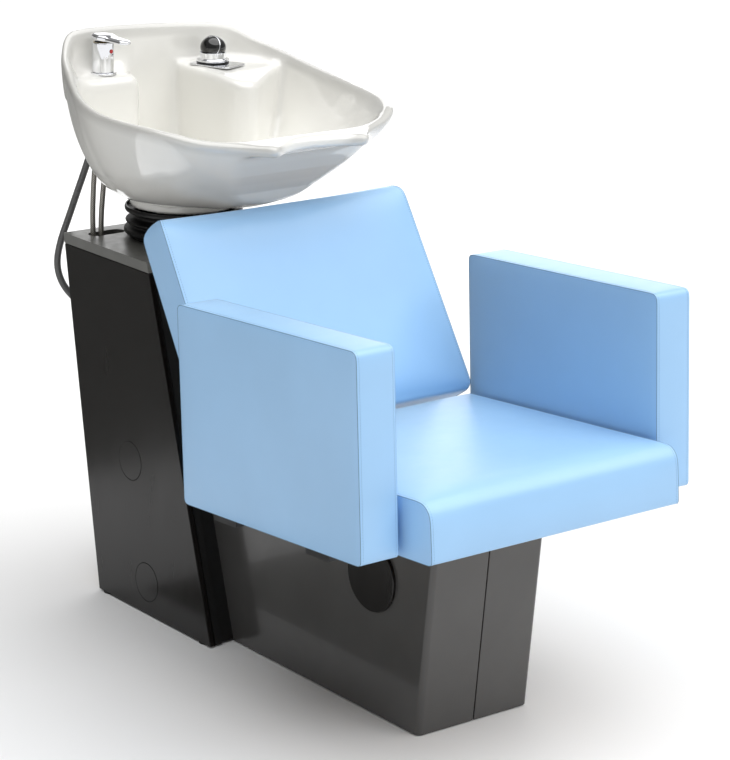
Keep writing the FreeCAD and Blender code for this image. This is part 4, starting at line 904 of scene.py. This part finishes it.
def at_head(x, y, z):
    v = e1 * x + e2 * y + FACE * z
    return at_shower(v.x * 1.07, v.y * 1.07, v.z * 0.94 + 29.0)


def ball(t0, t1, n=16, r=22.0):
    return [(math.sqrt(max(r * r - t * t, 0.0)), t) for t in r * np.sin(np.linspace(math.asin(t0 / r), math.asin(t1 / r), n))]


shell = ball(-22.0, 4.6, 26) + [(21.1, 5.6), (20.2, 5.9), (0.0, 5.9)]
shell_ob = lathe("shower_shell", shell, M_GLOSSPLASTIC, at_head, 96, 40)
stem = lathe("shower_stem", round_profile([(0.0, -96.0), (8.0, -96.0), (8.0, -84.0), (13.9, -84.0), (13.9, 22.0), (0.0, 22.0)],
                                          [0, 0.8, 0, 1.0, 0.5, 0], 3), M_CHROME, at_shower, 64, 40)
finish_piece(shell_ob, "hand_shower")
finish_piece(stem, "hand_shower", ["hand_shower_body"])
trim = [(20.6 + 0.95 * math.cos(a), 6.1 + 0.95 * math.sin(a)) for a in np.linspace(0, 2 * math.pi, 13)]
finish_piece(lathe("shower_trim", trim, M_CHROME, at_head, 96, 60), "hand_shower")
dome = [(19.9, 6.0)] + [(r * 0.985, t) for r, t in ball(7.0, 21.0, 16, 21.4)] + [(0.0, 21.35)]
finish_piece(lathe("shower_dome", dome, M_GLOSSPLASTIC, at_head, 96, 60), "hand_shower", ["hand_shower_face"])

# ---------------------------------------------------------------- upholstery
def spaced(a, b, step, edge=(0.0, 1.6, 4.2, 8.0, 13.0)):
    """Points from a to b, closer together towards both ends."""
    n = max(2, int(round((b - a - 2 * edge[-1]) / step)))
    mid = list(np.linspace(a + edge[-1], b - edge[-1], n + 1))
    return np.array([a + e for e in edge[:-1]] + mid + [b - e for e in reversed(edge[:-1])])


def corner(p, q, p0, q0, r, sp, sq):
    """Round one corner (p0, q0) of an outline; sp, sq point from the corner into the form."""
    cp, cq = p0 + sp * r, q0 + sq * r
    u, v = (p - cp) * -sp, (q - cq) * -sq
    inside = (u > 0) & (v > 0)
    m = np.maximum(u, v)
    h = np.maximum(np.hypot(u, v), 1e-6)
    return (np.where(inside, cp - sp * u * m / h, p), np.where(inside, cq - sq * v * m / h, q))


class Cushion:
    """A sewn cover: two side panels joined by one strip that runs round between them."""

    def __init__(self, name, xs, ss, ns, place):
        self.name = name
        I, J, K = len(xs) - 1, len(ss) - 1, len(ns) - 1
        self.dim = (I, J, K)
        ids, lat = {}, []
        for i in range(I + 1):
            for j in range(J + 1):
                for kk in range(K + 1):
                    if i in (0, I) or j in (0, J) or kk in (0, K):
                        ids[(i, j, kk)] = len(lat)
                        lat.append((i, j, kk))
        self.ids, self.lat = ids, np.array(lat)
        self.loc = np.c_[xs[self.lat[:, 0]], ss[self.lat[:, 1]], ns[self.lat[:, 2]]]
        f = []
        for i, fl in ((0, False), (I, True)):
            for j in range(J):
                for kk in range(K):
                    q = [ids[(i, j, kk)], ids[(i, j, kk + 1)], ids[(i, j + 1, kk + 1)], ids[(i, j + 1, kk)]]
                    f.append(q[::-1] if fl else q)
        for j, fl in ((0, False), (J, True)):
            for i in range(I):
                for kk in range(K):
                    q = [ids[(i, j, kk)], ids[(i + 1, j, kk)], ids[(i + 1, j, kk + 1)], ids[(i, j, kk + 1)]]
                    f.append(q[::-1] if fl else q)
        for kk, fl in ((0, False), (K, True)):
            for i in range(I):
                for j in range(J):
                    q = [ids[(i, j, kk)], ids[(i, j + 1, kk)], ids[(i + 1, j + 1, kk)], ids[(i + 1, j, kk)]]
                    f.append(q[::-1] if fl else q)
        self.faces = f
        self.place = place
        self.P = place(*self.loc.T)

    def ring(self, i, inset=0):
        """The lattice points round one side panel, or round the strip beside it."""
        I, J, K = self.dim
        out = [(i, j, 0) for j in range(J)] + [(i, J, kk) for kk in range(K)]
        out += [(i, j, K) for j in range(J, 0, -1)] + [(i, 0, kk) for kk in range(K, 0, -1)]
        return [self.ids[o] for o in out]

    def normals(self, P):
        F = np.array(self.faces)
        n = np.cross(P[F[:, 2]] - P[F[:, 0]], P[F[:, 3]] - P[F[:, 1]])
        out = np.zeros_like(P)
        for c in range(4):
            np.add.at(out, F[:, c], n)
        return out / np.maximum(np.linalg.norm(out, axis=1), 1e-9)[:, None]

    def relax(self, v, n=4):
        F = np.array(self.faces)
        for _ in range(n):
            acc, num = np.zeros_like(v), np.zeros(len(v))
            for a, b in ((0, 1), (1, 2), (2, 3), (3, 0)):
                for u, w in ((a, b), (b, a)):
                    np.add.at(acc, F[:, u], v[F[:, w]])
                    np.add.at(num, F[:, u], 1)
            v = 0.5 * v + 0.5 * acc / (num[:, None] if v.ndim > 1 else num)
        return v

    def inflate(self, pinned, cap, sigma, pressure=4.0):
        """Blow the cover up a little with its seams held, and limit how far it may go."""
        P0 = self.P.copy()
        N0 = self.normals(P0)
        me = bpy.data.meshes.new("cover")
        me.from_pydata([tuple(v) for v in fit_np(P0)], [], self.faces)
        ob = bpy.data.objects.new("cover", me)
        scene.collection.objects.link(ob)
        vg = ob.vertex_groups.new(name="held")
        vg.add([int(i) for i in np.flatnonzero(pinned)], 1.0, "REPLACE")
        md = ob.modifiers.new("Cloth", "CLOTH")
        st = md.settings
        st.quality = 5
        st.mass = 0.25
        st.tension_stiffness = st.compression_stiffness = 12.0
        st.shear_stiffness = 4.0
        st.bending_stiffness = 0.4
        st.use_pressure = True
        st.uniform_pressure_force = pressure
        st.vertex_group_mass = "held"
        st.effector_weights.gravity = 0.0
        md.collision_settings.use_self_collision = False
        md.point_cache.frame_start, md.point_cache.frame_end = 1, 22
        for fr in range(1, 21):
            scene.frame_set(fr)
        dg = bpy.context.evaluated_depsgraph_get()
        ev = ob.evaluated_get(dg).data
        q = np.empty(len(ev.vertices) * 3)
        ev.vertices.foreach_get("co", q)
        q = q.reshape(-1, 3) * 1000.0 + np.array([0, Y_REF, 0])
        ob.modifiers.clear()
        bpy.data.objects.remove(ob)
        bpy.data.meshes.remove(me)
        scene.frame_set(1)
        raw = np.maximum(((q - P0) * N0).sum(1), 0.0)
        print("cover %s moved mean %.1f max %.1f mm" % (self.name, raw.mean(), raw.max()))
        go = cap * (1.0 - np.exp(-raw / sigma))
        go[pinned] = 0.0
        go = self.relax(go, 2)
        go[pinned] = 0.0
        self.P = P0 + N0 * go[:, None]

    def pucker(self, seam_ids, amp, reach, wave, seed):
        """Small gathers that run away from the seams."""
        rng = np.random.default_rng(seed)
        seam = self.loc[seam_ids]
        d = np.full(len(self.P), 1e9)
        near = np.zeros(len(self.P), int)
        for c in range(len(seam)):
            dd = ((self.loc - seam[c]) ** 2).sum(1)
            m = dd < d
            d[m] = dd[m]
            near[m] = c
        d = np.sqrt(d)
        along = np.r_[0, np.cumsum(np.linalg.norm(np.diff(seam, axis=0), axis=1))][near]
        h = np.zeros(len(d))
        for _ in range(5):
            w = wave * rng.uniform(0.6, 1.8)
            h += rng.uniform(0.3, 1.0) * np.sin(2 * math.pi * along / w + rng.uniform(0, 6.28))
        h *= np.exp(-d / reach) * (1 - np.exp(-d / 4.0)) * amp / 2.0
        self.P = self.P + self.normals(self.P) * h[:, None]

    def build(self, sharp_rings, node, crease=0.85):
        me = bpy.data.meshes.new(self.name)
        me.from_pydata([tuple(v) for v in fit_np(self.P)], [], self.faces)
        me.update()
        at = me.attributes.new("crease_edge", "FLOAT", "EDGE")
        pairs = set()
        for r in sharp_rings:
            for a, b in zip(r, r[1:] + r[:1]):
                pairs.add((min(a, b), max(a, b)))
        ev = np.empty(len(me.edges) * 2, int)
        me.edges.foreach_get("vertices", ev)
        ev = ev.reshape(-1, 2)
        at.data.foreach_set("value", [crease if (min(a, b), max(a, b)) in pairs else 0.0 for a, b in ev])
        tmp = bpy.data.objects.new("tmp", me)
        scene.collection.objects.link(tmp)
        sd = tmp.modifiers.new("s", "SUBSURF")
        sd.levels = sd.render_levels = 1
        dg = bpy.context.evaluated_depsgraph_get()
        me2 = bpy.data.meshes.new_from_object(tmp.evaluated_get(dg))
        bpy.data.objects.remove(tmp)
        bpy.data.meshes.remove(me)
        me2.name = self.name
        me2.materials.clear()
        me2.materials.append(M_VINYL)
        me2.polygons.foreach_set("use_smooth", [True] * len(me2.polygons))
        for nm in ("crease_edge",):
            if nm in me2.attributes:
                me2.attributes.remove(me2.attributes[nm])
        ob = bpy.data.objects.new(self.name, me2)
        scene.collection.objects.link(ob)
        co = np.empty(len(me2.vertices) * 3)
        me2.vertices.foreach_get("co", co)
        nn = np.empty(len(me2.vertices) * 3)
        me2.vertices.foreach_get("normal", nn)
        self.co = co.reshape(-1, 3)[:len(self.P)]
        self.nn = nn.reshape(-1, 3)[:len(self.P)]
        finish_piece(ob, "chassis", [node])
        return ob


def thread_mesh(verts, faces, pts, r, seg=6, closed=True):
    """Add a thin round line through pts (metres)."""
    n = len(pts)
    base = len(verts)
    for a in range(n):
        p = Vector(pts[a])
        t = (Vector(pts[(a + 1) % n]) - Vector(pts[a - 1])) if closed or 0 < a < n - 1 else (
            Vector(pts[min(a + 1, n - 1)]) - Vector(pts[max(a - 1, 0)]))
        t.normalize()
        u = t.orthogonal().normalized() if a == 0 else (u - t * u.dot(t)).normalized()
        w = t.cross(u)
        for c in range(seg):
            g = 2 * math.pi * c / seg
            verts.append(p + (u * math.cos(g) + w * math.sin(g)) * r)
    for a in range(n if closed else n - 1):
        b = (a + 1) % n
        for c in range(seg):
            d = (c + 1) % seg
            faces.append((base + a * seg + c, base + a * seg + d, base + b * seg + d, base + b * seg + c))
    if not closed:
        faces.append(tuple(base + c for c in reversed(range(seg))))
        faces.append(tuple(base + (n - 1) * seg + c for c in range(seg)))


def stitches(verts, faces, pts, nrm, pitch=0.0044, length=0.0030, r=0.00042, lift=0.0001):
    """Short stitches that follow a line of points."""
    P = np.asarray(pts)
    N = np.asarray(nrm)
    d = np.r_[0, np.cumsum(np.linalg.norm(np.diff(P, axis=0), axis=1))]
    k_ = int(d[-1] / pitch)
    for a in range(k_):
        m = (a + 0.5) * d[-1] / k_
        pa = np.array([np.interp(m - length / 2, d, P[:, c]) for c in range(3)])
        pb = np.array([np.interp(m + length / 2, d, P[:, c]) for c in range(3)])
        nv = np.array([np.interp(m, d, N[:, c]) for c in range(3)])
        nv /= max(np.linalg.norm(nv), 1e-9)
        t = pb - pa
        t /= max(np.linalg.norm(t), 1e-9)
        side = np.cross(t, nv)
        base = len(verts)
        mid = (pa + pb) / 2 + nv * lift
        verts.append(Vector(pa - nv * r))
        for sgn in (-0.55, 0.55):
            for g in range(6):
                an = 2 * math.pi * g / 6
                verts.append(Vector(mid + t * sgn * length / 2 + (side * math.cos(an) + nv * math.sin(an)) * r))
        verts.append(Vector(pb - nv * r))
        for g in range(6):
            h = (g + 1) % 6
            faces.append((base, base + 1 + h, base + 1 + g))
            faces.append((base + 1 + g, base + 1 + h, base + 7 + h, base + 7 + g))
            faces.append((base + 7 + g, base + 7 + h, base + 13))


# seat: 514 long, 504 wide, nearly upright front, soft rounded nose
ST_, CT_ = math.sin(math.radians(3.54)), math.cos(math.radians(3.54))


def seat_place(x, u, w):
    sf = -5.0 + 3.0 * w
    T = 96.0 - 6.0 * u
    ss_ = sf + u * (514.0 - 3.0 - sf)
    nn_ = 0.5 + w * (T - 0.5)
    ss_, nn_ = corner(ss_, nn_, -2.0, 96.0, 28.0, 1.0, -1.0)
    ss_, nn_ = corner(ss_, nn_, -5.0, 0.5, 8.0, 1.0, 1.0)
    return np.c_[x, -186.0 + ss_ * CT_ + nn_ * ST_, 374.0 - ss_ * ST_ + nn_ * CT_]


us = spaced(0, 514, 11.0, (0.0, 2.0, 5.0, 9.0, 14.0, 20.0)) / 514.0
ws = spaced(0, 95, 9.0, (0.0, 2.0, 5.0, 9.0, 14.0, 20.0)) / 95.0
seat = Cushion("seat_cover", spaced(-251.0, 253.0, 11.0), us, ws, seat_place)
I, J, K = seat.dim
L = seat.lat
left_ring, right_ring = seat.ring(0), seat.ring(I)
pin = np.zeros(len(L), bool)
pin[left_ring] = pin[right_ring] = True
pin |= L[:, 2] == 0
cap = np.full(len(L), 4.0)
sig = np.full(len(L), 3.0)
top = (L[:, 2] == K)
front = (L[:, 1] == 0)
cap[top], sig[top] = 11.0, 9.0
cap[front & ~top], sig[front & ~top] = 7.0, 6.0
rear = (L[:, 1] == J)
cap[rear & ~top] = 3.0
cap = seat.relax(cap, 6)
sig = seat.relax(sig, 6)
seat.inflate(pin, cap, sig)
seat.pucker(left_ring, 0.55, 16.0, 34.0, 3)
seat.pucker(right_ring, 0.55, 16.0, 34.0, 4)
seat_ob = seat.build([left_ring, right_ring], "seat_cushion")


# arms: slabs with crisp sewn edges
def arm_place(side):
    def f(x, s_, n_):
        s2, n2 = corner(s_, n_, 58.5, 330.5, 12.0, 1.0, -1.0)
        s2, n2 = corner(s2, n2, 525.0, 330.5, 10.0, -1.0, -1.0)
        s2, n2 = corner(s2, n2, 58.5, 2.5, 9.0, 1.0, 1.0)
        s2, n2 = corner(s2, n2, 525.0, 2.5, 9.0, -1.0, 1.0)
        return np.c_[side * x, -186.0 + s2 * CT_ + n2 * ST_, 374.0 - s2 * ST_ + n2 * CT_]
    return f


arm_parts = []
for side, nm in ((-1, "left"), (1, "right")):
    xs_ = spaced(264.5, 335.5, 9.0)
    arm = Cushion("arm_cover_" + nm, xs_, spaced(58.5, 525.0, 11.0, (0.0, 1.8, 4.4, 8.0, 12.5)),
                  spaced(2.5, 330.5, 11.0, (0.0, 1.8, 4.4, 8.0, 12.5)), arm_place(side))
    if side < 0:
        arm.faces = [f[::-1] for f in arm.faces]
    I, J, K = arm.dim
    L = arm.lat
    r0, r1 = arm.ring(0), arm.ring(I)
    pin = np.zeros(len(L), bool)
    pin[r0] = pin[r1] = True
    cap = np.full(len(L), 4.2)
    sig = np.full(len(L), 2.2)
    faces_x = (L[:, 0] == 0) | (L[:, 0] == I)
    cap[faces_x] = 4.4
    cap[(L[:, 2] == 0)] = 1.8
    cap = arm.relax(cap, 2)
    arm.inflate(pin, cap, sig)
    arm.pucker(r0, 0.5, 14.0, 30.0, 7 if side < 0 else 9)
    arm.pucker(r1, 0.5, 14.0, 30.0, 8 if side < 0 else 10)
    ob = arm.build([r0, r1], "armrest_pad_" + nm)
    arm_parts.append((arm, r0, r1))

# backrest: pillowed front, soft edges, side panels sewn on
SB_, CB_ = math.sin(math.radians(31.9)), math.cos(math.radians(31.9))


def back_place(x, t, u):
    t2, u2_ = corner(t, u, 6.0, 382.0, 26.0, 1.0, -1.0)
    t2, u2_ = corner(t2, u2_, 6.0, -5.0, 14.0, 1.0, 1.0)
    t2, u2_ = corner(t2, u2_, 72.0, 382.0, 24.0, -1.0, -1.0)
    t2, u2_ = corner(t2, u2_, 72.0, -5.0, 8.0, -1.0, 1.0)
    # behind its front edge the top falls away in the middle, clear of the basin
    u2_ = u2_ - 18.0 * np.clip((t2 - 12.0) / 60.0, 0, 1) * np.clip((u2_ - 322.0) / 60.0, 0, 1) * np.exp(-(x / 185.0) ** 4)
    # the strip is a little narrower at the ends, so that the outline's corners are round
    e = np.maximum(np.maximum(u2_ - 358.0, 15.0 - u2_), 0.0) / 20.0
    return np.c_[x * (1.0 + 0.026 * np.clip(1.0 - u2_ / 380.0, 0.0, 1.0)) * (1.0 - 0.030 * e ** 2.2), 328.0 + t2 * CB_ + u2_ * SB_, 448.0 - t2 * SB_ + u2_ * CB_]


back = Cushion("back_cover", spaced(-252.5, 252.5, 11.0), spaced(6.0, 72.0, 9.0, (0.0, 2.0, 5.0, 9.0, 14.0, 20.0)),
               spaced(-5.0, 382.0, 11.0, (0.0, 2.0, 5.0, 9.0, 14.0, 20.0)), back_place)
I, J, K = back.dim
L = back.lat
b0, b1 = back.ring(0), back.ring(I)
pin = np.zeros(len(L), bool)
pin[b0] = pin[b1] = True
pin |= L[:, 1] == J
cap = np.full(len(L), 4.0)
sig = np.full(len(L), 4.0)
fr = L[:, 1] == 0
cap[fr], sig[fr] = 16.0, 9.0
cap[(L[:, 2] == K) & ~fr] = 3.0
cap = back.relax(cap, 8)
sig = back.relax(sig, 8)
back.inflate(pin, cap, sig)
back.pucker(b0, 0.5, 16.0, 36.0, 13)
back.pucker(b1, 0.5, 16.0, 36.0, 14)
back_ob = back.build([b0, b1], "backrest_cushion")
back_ob.visible_glossy = False
back_ob.visible_diffuse = False

# seam lines, mostly dark tubes of painted shade sunk into the seam creases, and topstitching
sv, sf_ = [], []
tv, tf = [], []
for cu, rings in ((seat, (left_ring, right_ring)), (back, (b0, b1)), (arm_parts[0][0], arm_parts[0][1:]),
                  (arm_parts[1][0], arm_parts[1][1:])):
    I = cu.dim[0]
    for ri, r in enumerate(rings):
        if (cu is arm_parts[0][0] and ri == 0) or (cu is arm_parts[1][0] and ri == 1):
            thread_mesh(tv, tf, [cu.co[i] - cu.nn[i] * 0.0003 for i in r], 0.0004)
        else:
            thread_mesh(sv, sf_, [cu.co[i] - cu.nn[i] * 0.0001 for i in r], 0.0005)
        # a row on the strip, about four millimetres from the seam
        col = 2 if ri == 0 else I - 2
        row = cu.ring(col)
        stitches(tv, tf, [cu.co[i] for i in row], [cu.nn[i] for i in row])
seams = add_mesh("cover_seam_shade", sv, sf_, M_SEAM_SHADE)
finish_piece(seams, "chassis")
topst = add_mesh("cover_topstitch", tv, tf, M_THREAD)
finish_piece(topst, "chassis")

# ---------------------------------------------------------------- floor and light
bm = bmesh.new()
bmesh.ops.create_grid(bm, x_segments=8, y_segments=8, size=20.0)
fme = bpy.data.meshes.new("studio_floor")
bm.to_mesh(fme)
bm.free()
floor = bpy.data.objects.new("studio_floor", fme)
scene.collection.objects.link(floor)
k = Mat("studio_floor")
k.set(Specular_IOR_Level=0.1)
k.color(k.ramp(k.noise(1.2, 3.0), [(0.3, (0.835, 0.835, 0.835)), (0.7, (0.85, 0.85, 0.85))]))
k.rough(k.remap(k.noise(3.0, 3.0), 0.75, 0.85))
fme.materials.append(k.m)

world = bpy.data.worlds.new("studio")
scene.world = world
world.use_nodes = True
world.node_tree.nodes["Background"].inputs["Color"].default_value = (1.0, 1.0, 1.0, 1.0)
world.node_tree.nodes["Background"].inputs["Strength"].default_value = 0.31


def area(name, pos, aim, size, power, size_y=None):
    li = bpy.data.lights.new(name, "AREA")
    li.energy = power
    li.shape = "RECTANGLE"
    li.size = size
    li.size_y = size_y or size
    ob = bpy.data.objects.new(name, li)
    scene.collection.objects.link(ob)
    ob.location = pos
    ob.rotation_euler = (Vector(aim) - Vector(pos)).to_track_quat("-Z", "Y").to_euler()
    ob.visible_camera = False
    return ob


sun = bpy.data.lights.new("overhead", "SUN")
sun.energy = 3.3
sun.angle = math.radians(85)
so = bpy.data.objects.new("overhead", sun)
scene.collection.objects.link(so)
so.rotation_euler = (math.radians(13), math.radians(9), 0)
area("fill_front", (1.5, -4.4, 2.0), (0, 0, 0.6), 2.6, 5.0)



def flag(name, x0, x1, z0, z1, y, shade_):
    """A plain upright card outside the picture."""
    ob = add_mesh(name, [(x0, y, z0), (x1, y, z0), (x1, y, z1), (x0, y, z1)], [(0, 1, 2, 3)],
                  simple_mat(name + "_cloth", srgb(shade_, shade_, shade_ - 3), 0.9, spec=0.1), smooth=False)
    ob.visible_camera = False
    ob.visible_shadow = False
    return ob


# grey cards behind the unit: one for the reflections in its left side, one that keeps light off it
flag("card_reflect", -6.0, 0.1, 0.0, 1.7, 1.05, 150).visible_diffuse = False
flag("card_shade", -2.6, -0.1, 0.62, 1.7, 1.0, 40).visible_glossy = False
low = flag("card_floor", -1.4, -0.24, 0.0, 0.0, 0.0, 120)
for v, (x, y) in zip(low.data.vertices, ((-1.4, -0.25), (-0.24, -0.25), (-0.24, 0.42), (-1.4, 0.42))):
    v.co = (x, y, 0.004)
low.visible_diffuse = False
area("back_soft", (2.6, 3.0, 1.7), (0, -0.1, 0.5), 2.4, 26.0)

# ---------------------------------------------------------------- finish of the construction pieces
BY_SLOT = {"vinyl_blue": M_VINYL, "gloss_black": M_GLOSS, "satin_black": M_SATIN, "plywood": M_WOOD,
           "black_steel": M_FRAME, "zinc_steel": M_ZINC, "glazed_white": M_CERAMIC, "chrome": M_CHROME, "brass": M_BRASS,
           "rubber_black": M_RUBBER, "braided_steel": M_BRAID, "gloss_plastic_black": M_GLOSSPLASTIC, "nylon": M_NYLON,
           "grey_plastic": M_PVC, "indicator": M_RED, "gloss_sheet": M_SHEET}
for sp in frame["record"]["subparts"]:
    ob = NODES[sp["node"]]
    ob.data.materials.clear()
    ob.data.materials.append(BY_SLOT.get(sp["material_slot"], M_SATIN))

# panels and covers with their edges broken
for node, mat, width, slot in (("tower_side_panel_left", M_GLOSS, 0.0014, "gloss_black"), ("tower_side_panel_right", M_GLOSS, 0.0014, "gloss_black"),
                               ("tower_top_plate", M_PLATE, 0.0016, "satin_black"), ("tower_front_panel", M_MATTE, 0.0010, "satin_black"),
                               ("tower_carcass", M_MATTE, 0.0008, "satin_black"), ("tower_rear_cover", M_SATIN, 0.0010, "satin_black"),
                               ("backrest_rear_panel", M_SATIN, 0.0010, "satin_black"),
                               ("pedestal_shell_left", M_SHEET, 0.0008, "gloss_sheet"), ("pedestal_shell_right", M_SHEET, 0.0008, "gloss_sheet"),
                               ("pedestal_top_cover", M_SHEET, 0.0008, "gloss_sheet"),
                               ("panel_caps", M_GLOSS, 0.0006, "gloss_black"), ("pedestal_caps", M_GLOSS, 0.0010, "gloss_black"),
                               ("shower_plate", M_CHROME, 0.0007, "chrome"), ("seat_frame", M_FRAME, 0.0010, "black_steel"),
                               ("backrest_brackets", M_FRAME, 0.0008, "black_steel"), ("seat_board", M_WOOD, 0.0008, "plywood"),
                               ("backrest_board", M_WOOD, 0.0008, "plywood"), ("hair_strainer", M_CHROME, 0.0004, "chrome"),
                               ("waste_body", M_CHROME, 0.0005, "chrome")):
    body = "basin_body" if node in ("shower_plate", "waste_body") else "strainer_body" if node == "hair_strainer" else "chassis"
    soften(node, mat, width, 2, body)

bpy.context.view_layer.update()
